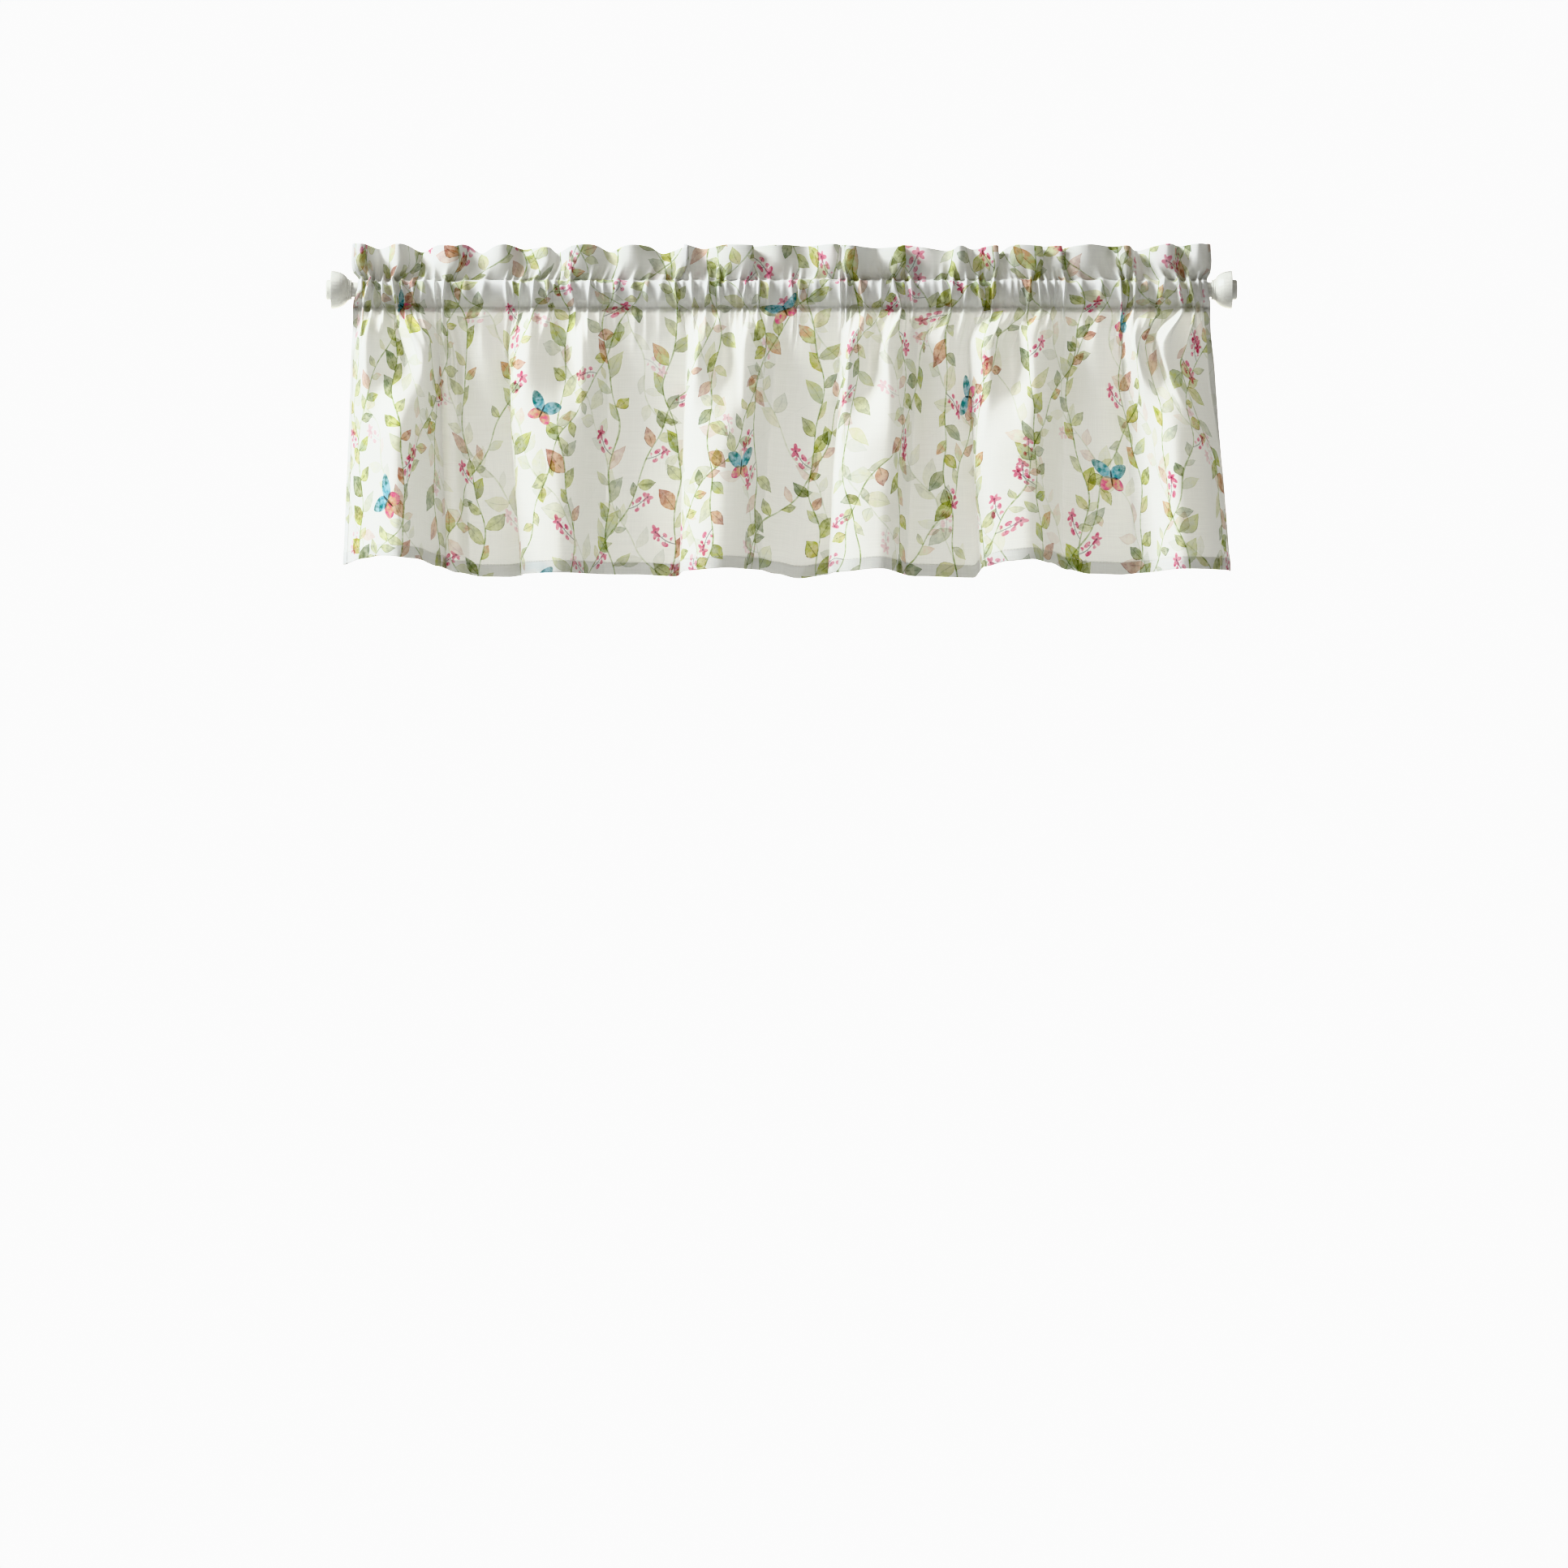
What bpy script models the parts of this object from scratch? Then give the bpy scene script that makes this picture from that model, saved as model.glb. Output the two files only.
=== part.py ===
"""Rod-pocket window valance, gathered on a straight curtain rod with two bell finials.

Frame: X runs along the rod, -Y is the room side, +Z is up. The origin is the middle
of the rod's axis, where the wall brackets carry it.
"""
import math
from collections import namedtuple

import bmesh
import bpy
from mathutils import Vector

MM = 0.001

# Rod, millimetres
ROD_RADIUS = 8.0
ROD_SIDES = 32
ROD_END_X = 471.0

# Cloth, millimetres
HEADING_HEIGHT = 38.0
UPPER_STITCH_Z = 11.3
LOWER_STITCH_Z = -19.5
HEM_Z = -308.0
HEM_DEPTH = 13.0
SKIRT_THICKNESS = 1.5
HEM_THICKNESS = 2.2
HEADING_THICKNESS = 2.0
POCKET_THICKNESS = 1.2
PANEL_SET_BACK = 20.0
CLOTH_LEFT_POCKET_X = -460.5
CLOTH_LEFT_HEM_X = -472.0
LARGEST_MITRE = 1.8
HEM_HUMP = 1.5
LEFT_EDGE_LIFT = 0.6
HEADING_SPRING = 1.2
GATHERS_OPEN_BY = 0.2
TWINS_MERGE_FROM = 0.12
TWINS_MERGE_BY = 0.55

# Sections of the cloth from left to right, millimetres. Each one starts where the last
# one ended. "ends" are its right edge at the pocket and at the hem, "cloth" is the flat
# width it takes, "pleats" are its gathers on the rod, "twins" are where its two upper
# ridges stand, "crest" is where they have merged at the hem, and "lift" raises the hem.
Section = namedtuple("Section", "kind cloth pocket_end hem_end pleats twins crest lift")
SECTIONS = (
    Section("left_edge", 194, -377, -365, 8, (0.20, 0.85), 0.56, 17),
    Section("fold", 42, -352, -339, 2, (0.30, 0.70), 0.45, 4),
    Section("panel", 62, -298, -279, 3, None, 0.50, 0),
    Section("fold", 152, -185, -191, 7, (0.24, 0.76), 0.48, 0),
    Section("panel", 88, -100, -109, 3, None, 0.50, 2),
    Section("fold", 148, -3, -24, 7, (0.14, 0.66), 0.50, 4),
    Section("panel", 78, 65, 51, 3, None, 0.50, -1),
    Section("fold", 146, 148, 134, 6, (0.12, 0.60), 0.66, 3),
    Section("panel", 86, 196, 215, 4, None, 0.50, -1),
    Section("fold", 152, 306, 301, 7, (0.22, 0.66), 0.58, 17),
    Section("panel", 82, 362, 381, 3, None, 0.50, 3),
    Section("right_edge", 192, 460.5, 483, 8, (0.12, 0.44), 0.50, 2),
)

# Relative width of one gather after another, so that no two neighbours match.
PLEAT_SIZES = (1.0, 0.58, 1.36, 0.74, 1.14, 0.52, 1.48, 0.88)

# Ruffle of the heading: where the cloth leaves the pocket, and where its top edge stands
# along the rod and out towards the room (negative leans to the wall), millimetres.
Ruffle = namedtuple("Ruffle", "pocket_x top_x out")
RUFFLES = (
    Ruffle(-460.5, -461, -4),
    Ruffle(-446, -449, 9),
    Ruffle(-430, -432, -17),
    Ruffle(-412, -410, 6),
    Ruffle(-390, -388, -22),
    Ruffle(-366, -368, -10),
    Ruffle(-352, -350, 15),
    Ruffle(-338, -341, -8),
    Ruffle(-322, -322, -26),
    Ruffle(-300, -299, 8),
    Ruffle(-280, -278, -19),
    Ruffle(-258, -252, -15),
    Ruffle(-240, -241, -24),
    Ruffle(-222, -222, 12),
    Ruffle(-204, -203, 10),
    Ruffle(-184, -184, -24),
    Ruffle(-162, -163, 10),
    Ruffle(-146, -144, -14),
    Ruffle(-126, -127, -26),
    Ruffle(-106, -101, 14),
    Ruffle(-96, -104, -6),
    Ruffle(-84, -84, -18),
    Ruffle(-62, -58, 9),
    Ruffle(-36, -32, 12),
    Ruffle(-26, -31, -14),
    Ruffle(-4, -3, 10),
    Ruffle(26, 28, -12),
    Ruffle(52, 54, 6),
    Ruffle(66, 64, -10),
    Ruffle(76, 75, 16),
    Ruffle(102, 102, -18),
    Ruffle(128, 131, 15),
    Ruffle(136, 130, -8),
    Ruffle(152, 155, -17),
    Ruffle(176, 180, -22),
    Ruffle(190, 192, 14),
    Ruffle(204, 206, -20),
    Ruffle(226, 231, 12),
    Ruffle(236, 233, -26),
    Ruffle(250, 252, 10),
    Ruffle(272, 279, 15),
    Ruffle(282, 276, -14),
    Ruffle(296, 300, 14),
    Ruffle(304, 300, -20),
    Ruffle(328, 329, 10),
    Ruffle(354, 355, -14),
    Ruffle(370, 372, 13),
    Ruffle(384, 384, -20),
    Ruffle(412, 414, 9),
    Ruffle(430, 428, -12),
    Ruffle(446, 447, 8),
    Ruffle(460.5, 461, -6),
)

# Rows of the solid: shares of the heading's height, how far the pocket's wall reaches out
# and how high it stands there, and shares of the skirt's drop.
HEADING_ROWS = (1.0, 0.62, 0.28)
POCKET_ROWS = ((7.4, 8.4), (10.4, -0.5), (7.0, -9.8))
SKIRT_ROWS = (0.05, 0.11, 0.19, 0.30, 0.45, 0.68)
TUNNEL_TOP = 1.3
TUNNEL_FLOOR = 1.5

# Turned profile of a finial: distance out from the neck's face, and radius, millimetres.
NECK_FACE_X = 461.8
SOCKET_DEPTH = 9.5
SOCKET_RADIUS = 8.35
FINIAL_SIDES = 32
FINIAL_PROFILE = (
    (0.0, 10.2), (0.4, 10.6), (1.3, 10.8), (1.6, 10.4), (2.1, 10.5), (2.5, 11.4),
    (3.3, 11.8), (3.7, 11.5), (4.1, 11.9), (4.6, 13.0), (6.5, 15.2), (9.0, 17.2),
    (12.0, 18.7), (15.0, 19.6), (18.0, 20.2), (20.6, 20.5), (21.6, 20.4), (21.8, 20.0),
    (21.8, 11.2), (22.2, 10.7), (26.0, 10.7), (27.2, 9.6), (27.2, 0.0),
)

# Finishes
COTTON_COLOR = (0.86, 0.87, 0.80)
COTTON_ROUGHNESS = 0.9
PAINT_COLOR = (0.88, 0.88, 0.85)
PAINT_ROUGHNESS = 0.4
CLOTH_SOFT_ANGLE = 60
TURNED_SOFT_ANGLE = 30

# Steps and limits of the shape's own working
SPLINE_STEPS = 8
LENGTH_ROUNDS = 24
DEEPEST_FOLD = 400.0
SHORTEST_STEP = 1e-6
STEEPEST_LEAN = 0.8
WELD = 1e-6


def blend(a, b, share):
    return a + (b - a) * share


def smooth(value, low, high):
    share = min(max((value - low) / (high - low), 0.0), 1.0)
    return share * share * (3.0 - 2.0 * share)


def spline(points):
    """Points of a smooth curve through the given (x, depth) pairs."""
    padded = [points[0]] + list(points) + [points[-1]]
    curve = []
    for index in range(1, len(padded) - 2):
        before, here, there, after = padded[index - 1:index + 3]
        for step in range(SPLINE_STEPS):
            t = step / SPLINE_STEPS
            curve.append(tuple(
                0.5 * (2 * here[k] + (there[k] - before[k]) * t
                       + (2 * before[k] - 5 * here[k] + 4 * there[k] - after[k]) * t ** 2
                       + (3 * here[k] - before[k] - 3 * there[k] + after[k]) * t ** 3)
                for k in (0, 1)))
    curve.append(tuple(points[-1]))
    return curve


def running_lengths(curve, width, depth):
    """Length of the cloth from the curve's start to each of its points."""
    lengths = [0.0]
    for a, b in zip(curve, curve[1:]):
        step = math.hypot((b[0] - a[0]) * width, (b[1] - a[1]) * depth)
        lengths.append(lengths[-1] + step)
    return lengths


def depth_for_cloth(curve, width, cloth):
    """Depth that makes the curve take up all its cloth."""
    low, high = 0.0, DEEPEST_FOLD
    for _ in range(LENGTH_ROUNDS):
        middle = 0.5 * (low + high)
        if running_lengths(curve, width, middle)[-1] < cloth:
            low = middle
        else:
            high = middle
    return low


def hang(curve, width, cloth, shares):
    """Places (x, depth) of the cloth at these shares of its width along the curve."""
    depth = depth_for_cloth(curve, width, cloth)
    lengths = running_lengths(curve, width, depth)
    places = []
    at = 0
    for share in shares:
        goal = share * lengths[-1]
        while at < len(lengths) - 2 and lengths[at + 1] < goal:
            at += 1
        span = max(lengths[at + 1] - lengths[at], SHORTEST_STEP)
        part = min(max((goal - lengths[at]) / span, 0.0), 1.0)
        places.append((blend(curve[at][0], curve[at + 1][0], part) * width,
                       blend(curve[at][1], curve[at + 1][1], part) * depth))
    return places


def pleat_bounds(section):
    """Shares of the section's width where one gather ends and the next begins."""
    sizes = [PLEAT_SIZES[(index + section.pleats) % len(PLEAT_SIZES)]
             for index in range(section.pleats)]
    bounds = [0.0]
    for size in sizes:
        bounds.append(bounds[-1] + size / sum(sizes))
    return bounds


def gathered_curve(section):
    """Zigzag of the gathers on the rod: valleys at their bounds, a peak between them."""
    bounds = pleat_bounds(section)
    curve = [(0.0, 0.0)]
    for low, high in zip(bounds, bounds[1:]):
        curve.append((0.5 * (low + high), (high - low) * section.pleats))
        curve.append((high, 0.0))
    return curve


def twin_curve(section):
    """Two narrow ridges with a hollow between them, below the pocket."""
    left, right = section.twins
    return spline(((0.0, 0.0), (0.45 * left, 0.5), (left, 1.0), (blend(left, right, 0.3), 0.55),
                   (blend(left, right, 0.55), 0.22), (blend(left, right, 0.8), 0.55),
                   (right, 0.95), (blend(right, 1.0, 0.6), 0.4), (1.0, 0.0)))


def merged_curve(section):
    """One broad ridge; a fold rises steeply on its left and falls gently on its right."""
    crest = section.crest
    if section.kind == "panel":
        return spline(((0.0, 0.0), (0.25, 0.7), (0.5, 1.0), (0.75, 0.7), (1.0, 0.0)))
    if section.kind == "left_edge":
        return spline(((0.0, 0.0), (0.5 * crest, 0.62), (crest, 1.0),
                       (blend(crest, 1.0, 0.5), 0.62), (1.0, 0.0)))
    if section.kind == "right_edge":
        return spline(((0.0, 0.0), (0.3 * crest, 0.26), (0.7 * crest, 0.82), (crest, 1.0),
                       (blend(crest, 1.0, 0.5), 0.78), (0.97, 0.2), (1.0, -0.12)))
    return spline(((0.0, 0.0), (-0.01, 0.30), (0.05, 0.62), (0.5 * crest, 0.9), (crest, 1.0),
                   (blend(crest, 1.0, 0.35), 0.8), (blend(crest, 1.0, 0.7), 0.33), (1.0, 0.0)))


def column_shares(section):
    """Columns of the mesh over one section: a valley and a peak for every gather."""
    bounds = pleat_bounds(section)
    shares = []
    for low, high in zip(bounds, bounds[1:]):
        shares.extend((low, 0.5 * (low + high)))
    if section is SECTIONS[-1]:
        shares.append(1.0)
    return shares


def section_row(section, start_x, end_x, gathered, twinned):
    """Places of one section at one height, from how far its gathers have opened out."""
    shares = column_shares(section)
    width = end_x - start_x
    merged = hang(merged_curve(section), width, section.cloth, shares)
    pleated = hang(gathered_curve(section), width, section.cloth, shares)
    twin = hang(twin_curve(section), width, section.cloth, shares) if section.twins else merged
    half = 0.5 * max(depth for _, depth in pleated)
    row = []
    for broad, narrow, tight in zip(merged, twin, pleated):
        loose = [blend(broad[k], narrow[k], twinned) for k in (0, 1)]
        row.append((start_x + blend(loose[0], tight[0], gathered),
                    blend(loose[1], tight[1] - half, gathered), half))
    return row


def cloth_row(drop, gathered, twinned):
    """Place, depth and half gather depth of every column at a share of the skirt's drop."""
    row = []
    pocket_x, hem_x = CLOTH_LEFT_POCKET_X, CLOTH_LEFT_HEM_X
    for section in SECTIONS:
        start_x = blend(pocket_x, hem_x, drop)
        end_x = blend(section.pocket_end, section.hem_end, drop)
        row.extend(section_row(section, start_x, end_x, gathered, twinned))
        pocket_x, hem_x = section.pocket_end, section.hem_end
    return row


def hem_lifts():
    """Lift of the hem at every column; the two ends of the cloth keep their own lift."""
    lifts = []
    for section in SECTIONS:
        for share in column_shares(section):
            hump = math.sin(math.pi * share) ** HEM_HUMP
            if section.kind == "left_edge" and share < 0.5:
                hump = blend(LEFT_EDGE_LIFT, 1.0, hump)
            if section.kind == "right_edge" and share > 0.5:
                hump = 1.0
            lifts.append(section.lift * hump)
    return lifts


def ruffle_row(pocket_row):
    """Places (x, depth) of every column at the heading's top edge."""
    path = spline([(ruffle.top_x, ruffle.out) for ruffle in RUFFLES])
    feet = [ruffle.pocket_x for ruffle in RUFFLES]
    row = []
    for x, _, _ in pocket_row:
        index = max(k for k in range(len(feet) - 1) if k == 0 or feet[k] <= x)
        part = min(max((x - feet[index]) / (feet[index + 1] - feet[index]), 0.0), 1.0)
        place = (index + part) * SPLINE_STEPS
        low = min(int(place), len(path) - 2)
        row.append(tuple(blend(path[low][k], path[low + 1][k], place - low) for k in (0, 1)))
    return row


def heading_points(gathers, top_row, rise):
    """Middle points of the heading at this share of its height."""
    points = []
    for (foot_x, foot_out, _), (top_x, top_out) in zip(gathers, top_row):
        lean = min(abs(top_out) / HEADING_HEIGHT, STEEPEST_LEAN)
        height = HEADING_HEIGHT * rise * math.sqrt(1.0 - (lean * rise) ** 2)
        out = blend(foot_out, top_out, rise ** HEADING_SPRING)
        points.append(Vector((blend(foot_x, top_x, rise), -out, UPPER_STITCH_Z + height)))
    return points


def skirt_points(drop, lifts):
    """Middle points of the skirt at this share of its drop."""
    gathered = 1.0 - smooth(drop, 0.0, GATHERS_OPEN_BY)
    twinned = 1.0 - smooth(drop, TWINS_MERGE_FROM, TWINS_MERGE_BY)
    points = []
    for (x, out, _), lift in zip(cloth_row(drop, gathered, twinned), lifts):
        z = blend(LOWER_STITCH_Z, HEM_Z + lift, drop)
        points.append(Vector((x, PANEL_SET_BACK * drop - out, z)))
    return points


def cloth_grids():
    """Middle surface from heading to hem, row by row, and the pocket's back wall."""
    gathers = cloth_row(0.0, 1.0, 0.0)
    lifts = hem_lifts()
    top = ruffle_row(gathers)
    rows = [heading_points(gathers, top, rise) for rise in HEADING_ROWS]
    rows.append([Vector((x, -out, UPPER_STITCH_Z)) for x, out, _ in gathers])
    back_wall = []
    for reach, z in POCKET_ROWS:
        rows.append([Vector((x, -(reach + out + half), z)) for x, out, half in gathers])
        back_wall.append([Vector((x, reach + half - out, z)) for x, out, half in gathers])
    rows.append([Vector((x, -out, LOWER_STITCH_Z)) for x, out, _ in gathers])
    hem_stitch = 1.0 - HEM_DEPTH / (LOWER_STITCH_Z - HEM_Z)
    for drop in SKIRT_ROWS + (hem_stitch, 1.0):
        rows.append(skirt_points(drop, lifts))
    return rows, back_wall


def across(row, index):
    """Direction of the cloth along its row, and how far the mitre lengthens an offset."""
    here = row[index]
    before = (here - row[index - 1]).normalized() if index > 0 else None
    after = (row[index + 1] - here).normalized() if index < len(row) - 1 else None
    if before is None or after is None:
        return before or after, 1.0
    middle = before + after
    if middle.length < SHORTEST_STEP:
        return before, LARGEST_MITRE
    mitre = 1.0 / max(middle.normalized().dot(after), 1.0 / LARGEST_MITRE)
    return middle.normalized(), mitre


def outward(rows, level, index):
    """Normal of the cloth towards the room, lengthened so that a fold keeps its thickness."""
    along, mitre = across(rows[level], index)
    above = rows[max(level - 1, 0)][index]
    below = rows[min(level + 1, len(rows) - 1)][index]
    normal = (below - above).cross(along).normalized()
    return normal * mitre


def offset_row(rows, level, distance):
    """A row moved out along the cloth's normals."""
    return [point + outward(rows, level, index) * distance
            for index, point in enumerate(rows[level])]


def to_metres(rows):
    return [[point * MM for point in row] for row in rows]


def row_thickness(level, levels):
    """Thickness of the cloth at one row of the middle surface."""
    first_pocket = len(HEADING_ROWS) + 1
    last_pocket = first_pocket + len(POCKET_ROWS) - 1
    if level < first_pocket or level == last_pocket + 1:
        return HEADING_THICKNESS
    if level <= last_pocket:
        return POCKET_THICKNESS
    return HEM_THICKNESS if level >= levels - 2 else SKIRT_THICKNESS


def cloth_loops():
    """Outer loop of rows around the whole cloth, and the loop of rows inside its pocket."""
    rows, back_wall = cloth_grids()
    levels = len(rows)
    stitch = len(HEADING_ROWS)
    pocket = range(stitch + 1, stitch + 1 + len(POCKET_ROWS))
    lower = pocket[-1] + 1
    front = [offset_row(rows, k, 0.5 * row_thickness(k, levels)) for k in range(levels)]
    rear_rows = rows[:pocket[0]] + back_wall + rows[lower:]
    rear = [offset_row(rear_rows, k, -0.5 * row_thickness(k, levels)) for k in range(levels)]
    inner_front = [offset_row(rows, k, -0.5 * POCKET_THICKNESS) for k in pocket]
    inner_rear = [offset_row(rear_rows, k, 0.5 * POCKET_THICKNESS) for k in pocket]
    roof = [point - Vector((0.0, 0.0, TUNNEL_TOP)) for point in rows[stitch]]
    floor = [point + Vector((0.0, 0.0, TUNNEL_FLOOR)) for point in rows[lower]]
    tunnel = [roof] + inner_front + [floor] + inner_rear[::-1]
    return to_metres(front), to_metres(rear), to_metres(tunnel)


def add_loop(bm, loop):
    """Vertices of a loop, in the same rows and columns."""
    return [[bm.verts.new(point) for point in row] for row in loop]


def skin(bm, loop):
    """Faces between neighbouring rows of a closed loop, along the whole cloth."""
    for row, after in zip(loop, loop[1:] + loop[:1]):
        for index in range(len(row) - 1):
            bm.faces.new((row[index], row[index + 1], after[index + 1], after[index]))


def close_end(bm, front, rear, tunnel, index):
    """Narrow faces that close one end of the cloth round the mouth of its pocket."""
    stitch = len(HEADING_ROWS)
    count = len(POCKET_ROWS)
    lower = stitch + count + 1
    f, r, t = ([row[index] for row in rows] for rows in (front, rear, tunnel))
    for k in list(range(stitch)) + list(range(lower, len(f) - 1)):
        bm.faces.new((f[k], f[k + 1], r[k + 1], r[k]))
    inner_front = t[:count + 2]
    inner_rear = [t[0]] + t[:count + 1:-1] + [t[count + 1]]
    for k in range(count + 1):
        bm.faces.new((f[stitch + k], f[stitch + k + 1], inner_front[k + 1], inner_front[k]))
        bm.faces.new((r[stitch + k], r[stitch + k + 1], inner_rear[k + 1], inner_rear[k]))
    bm.faces.new((f[stitch], t[0], r[stitch]))
    bm.faces.new((f[lower], t[count + 1], r[lower]))


def cloth_mesh():
    """The whole valance as one closed body, with its pocket open from end to end."""
    bm = bmesh.new()
    front, rear, tunnel = (add_loop(bm, loop) for loop in cloth_loops())
    skin(bm, front + rear[::-1])
    skin(bm, tunnel)
    for index in (0, -1):
        close_end(bm, front, rear, tunnel, index)
    bmesh.ops.recalc_face_normals(bm, faces=bm.faces)
    return bm


def rod_mesh():
    """Round rod along X."""
    bm = bmesh.new()
    bmesh.ops.create_cone(bm, cap_ends=True, segments=ROD_SIDES, radius1=ROD_RADIUS * MM,
                          radius2=ROD_RADIUS * MM, depth=2.0 * ROD_END_X * MM)
    bmesh.ops.rotate(bm, verts=bm.verts, matrix=quarter_turn())
    return bm


def quarter_turn():
    """Turn that lays the +Z axis along +X."""
    return Vector((0.0, 0.0, 1.0)).rotation_difference(Vector((1.0, 0.0, 0.0))).to_matrix()


def finial_mesh(side):
    """Turned finial whose socket takes the rod's end; side is -1 at the left, 1 at the right."""
    socket = [(SOCKET_DEPTH, 0.0), (SOCKET_DEPTH, SOCKET_RADIUS), (0.0, SOCKET_RADIUS)]
    bm = bmesh.new()
    profile = [bm.verts.new(((NECK_FACE_X + out) * MM, radius * MM, 0.0))
               for out, radius in socket + list(FINIAL_PROFILE)]
    edges = [bm.edges.new(pair) for pair in zip(profile, profile[1:])]
    bmesh.ops.spin(bm, geom=profile + edges, axis=(1.0, 0.0, 0.0), cent=(0.0, 0.0, 0.0),
                   angle=2.0 * math.pi, steps=FINIAL_SIDES, use_merge=True)
    bmesh.ops.remove_doubles(bm, verts=bm.verts, dist=WELD)
    bmesh.ops.scale(bm, verts=bm.verts, vec=(side, 1.0, 1.0))
    bmesh.ops.recalc_face_normals(bm, faces=bm.faces)
    return bm


def finish(name, color, roughness):
    """Material of one piece: a plain surface with its colour and roughness."""
    material = bpy.data.materials.new(name)
    material.use_nodes = True
    shader = material.node_tree.nodes["Principled BSDF"]
    shader.inputs["Base Color"].default_value = (*color, 1.0)
    shader.inputs["Roughness"].default_value = roughness
    shader.inputs["Metallic"].default_value = 0.0
    material.diffuse_color = (*color, 1.0)
    return material


def add_piece(name, bm, material, soft_angle):
    """Object made from a finished bmesh, smooth where its faces meet below this angle."""
    mesh = bpy.data.meshes.new(name)
    bm.to_mesh(mesh)
    bm.free()
    mesh.materials.append(material)
    mesh.shade_smooth()
    mesh.set_sharp_from_angle(angle=math.radians(soft_angle))
    piece = bpy.data.objects.new(name, mesh)
    bpy.context.scene.collection.objects.link(piece)
    return piece


def clear_scene():
    for item in list(bpy.data.objects):
        bpy.data.objects.remove(item, do_unlink=True)


def main():
    clear_scene()
    cotton = finish("printed_cotton", COTTON_COLOR, COTTON_ROUGHNESS)
    rod_paint = finish("painted_rod", PAINT_COLOR, PAINT_ROUGHNESS)
    left_paint = finish("painted_finial_left", PAINT_COLOR, PAINT_ROUGHNESS)
    right_paint = finish("painted_finial_right", PAINT_COLOR, PAINT_ROUGHNESS)
    add_piece("valance", cloth_mesh(), cotton, CLOTH_SOFT_ANGLE)
    add_piece("rod", rod_mesh(), rod_paint, TURNED_SOFT_ANGLE)
    add_piece("finial_left", finial_mesh(-1.0), left_paint, TURNED_SOFT_ANGLE)
    add_piece("finial_right", finial_mesh(1.0), right_paint, TURNED_SOFT_ANGLE)


main()
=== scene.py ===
"""Window valance: printed cotton gathered on a white curtain rod with two bell finials.

The cloth is one sheet. Its UV map is the flat cloth in metres, U across and V up from
the inner edge of the hem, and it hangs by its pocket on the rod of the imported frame.
X runs along the rod, -Y is the room side, +Z is up, and the origin is the rod's middle.
"""
import math
import random
from collections import namedtuple

import bmesh
import bpy
from bpy.props import FloatProperty, FloatVectorProperty, PointerProperty
from mathutils import Matrix, Vector, noise


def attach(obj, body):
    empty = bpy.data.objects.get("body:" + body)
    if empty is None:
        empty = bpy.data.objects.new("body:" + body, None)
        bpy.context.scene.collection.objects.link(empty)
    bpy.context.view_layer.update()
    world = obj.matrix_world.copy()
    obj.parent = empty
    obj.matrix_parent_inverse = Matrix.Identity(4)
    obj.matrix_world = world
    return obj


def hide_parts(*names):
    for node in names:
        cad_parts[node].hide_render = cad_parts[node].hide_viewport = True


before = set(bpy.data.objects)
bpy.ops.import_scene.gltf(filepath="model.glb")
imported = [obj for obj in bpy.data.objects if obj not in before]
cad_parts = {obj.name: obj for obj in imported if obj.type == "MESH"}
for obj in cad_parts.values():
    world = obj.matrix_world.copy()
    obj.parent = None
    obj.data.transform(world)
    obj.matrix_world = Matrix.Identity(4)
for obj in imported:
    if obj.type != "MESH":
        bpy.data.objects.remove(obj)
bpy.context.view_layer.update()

bl_info = {
    "name": "Window valance",
    "version": (1, 0, 0),
    "blender": (4, 5, 0),
    "location": "View3D > Sidebar > Valance",
    "description": "Makes a gathered, printed window valance on its curtain rod",
    "category": "Object",
}

MM = 0.001

# Cloth, millimetres; drops are shares of the way from the lower stitch down to the hem
UPPER_STITCH_Z = 11.3
LOWER_STITCH_Z = -19.5
HEM_Z = -308.0
LEFT_POCKET_X = -460.5
LEFT_HEM_X = -472.0
CUT_WIDTH = 1422.0
COLUMN_WIDTH = 1.6
SIDE_HEM = 9.0
SIDE_HEM_COLUMNS = 4
SIDE_HEM_GAP = 0.6
LAYER_GAP = 0.45  # half the space between two layers that are sewn together
LAYERS_PART_BY = 0.03  # drop
HEM_EASES_IN = 0.02  # drop
HEADING_PUFF = 1.1  # how much further each layer of the heading stands out, halfway up
FOLD_ROUNDING = 0.5
LAST_TURN_DROP = 5.0 / 288.0  # drop at which the turned edge behind the pocket ends

# Sections of the skirt from left to right, millimetres: flat width, right edge at the
# pocket and at the hem, and as shares of the section's width the places of its two upper
# ridges and of its crest at the hem.
Section = namedtuple("Section", "kind cloth pocket_end hem_end twins crest")
SECTIONS = (
    Section("left_edge", 194, -369, -360, (0.20, 0.85), 0.56),
    Section("fold", 42, -345, -335, (0.30, 0.70), 0.45),
    Section("panel", 62, -298, -279, None, 0.50),
    Section("fold", 152, -185, -191, (0.24, 0.76), 0.48),
    Section("panel", 88, -100, -109, None, 0.50),
    Section("fold", 148, -3, -24, (0.14, 0.66), 0.50),
    Section("panel", 78, 65, 51, None, 0.50),
    Section("fold", 146, 148, 134, (0.12, 0.60), 0.66),
    Section("panel", 86, 196, 215, None, 0.50),
    Section("fold", 152, 306, 301, (0.22, 0.66), 0.58),
    Section("panel", 82, 362, 381, None, 0.50),
    Section("right_edge", 192, 460.5, 483, (0.12, 0.44), 0.50),
)
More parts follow.
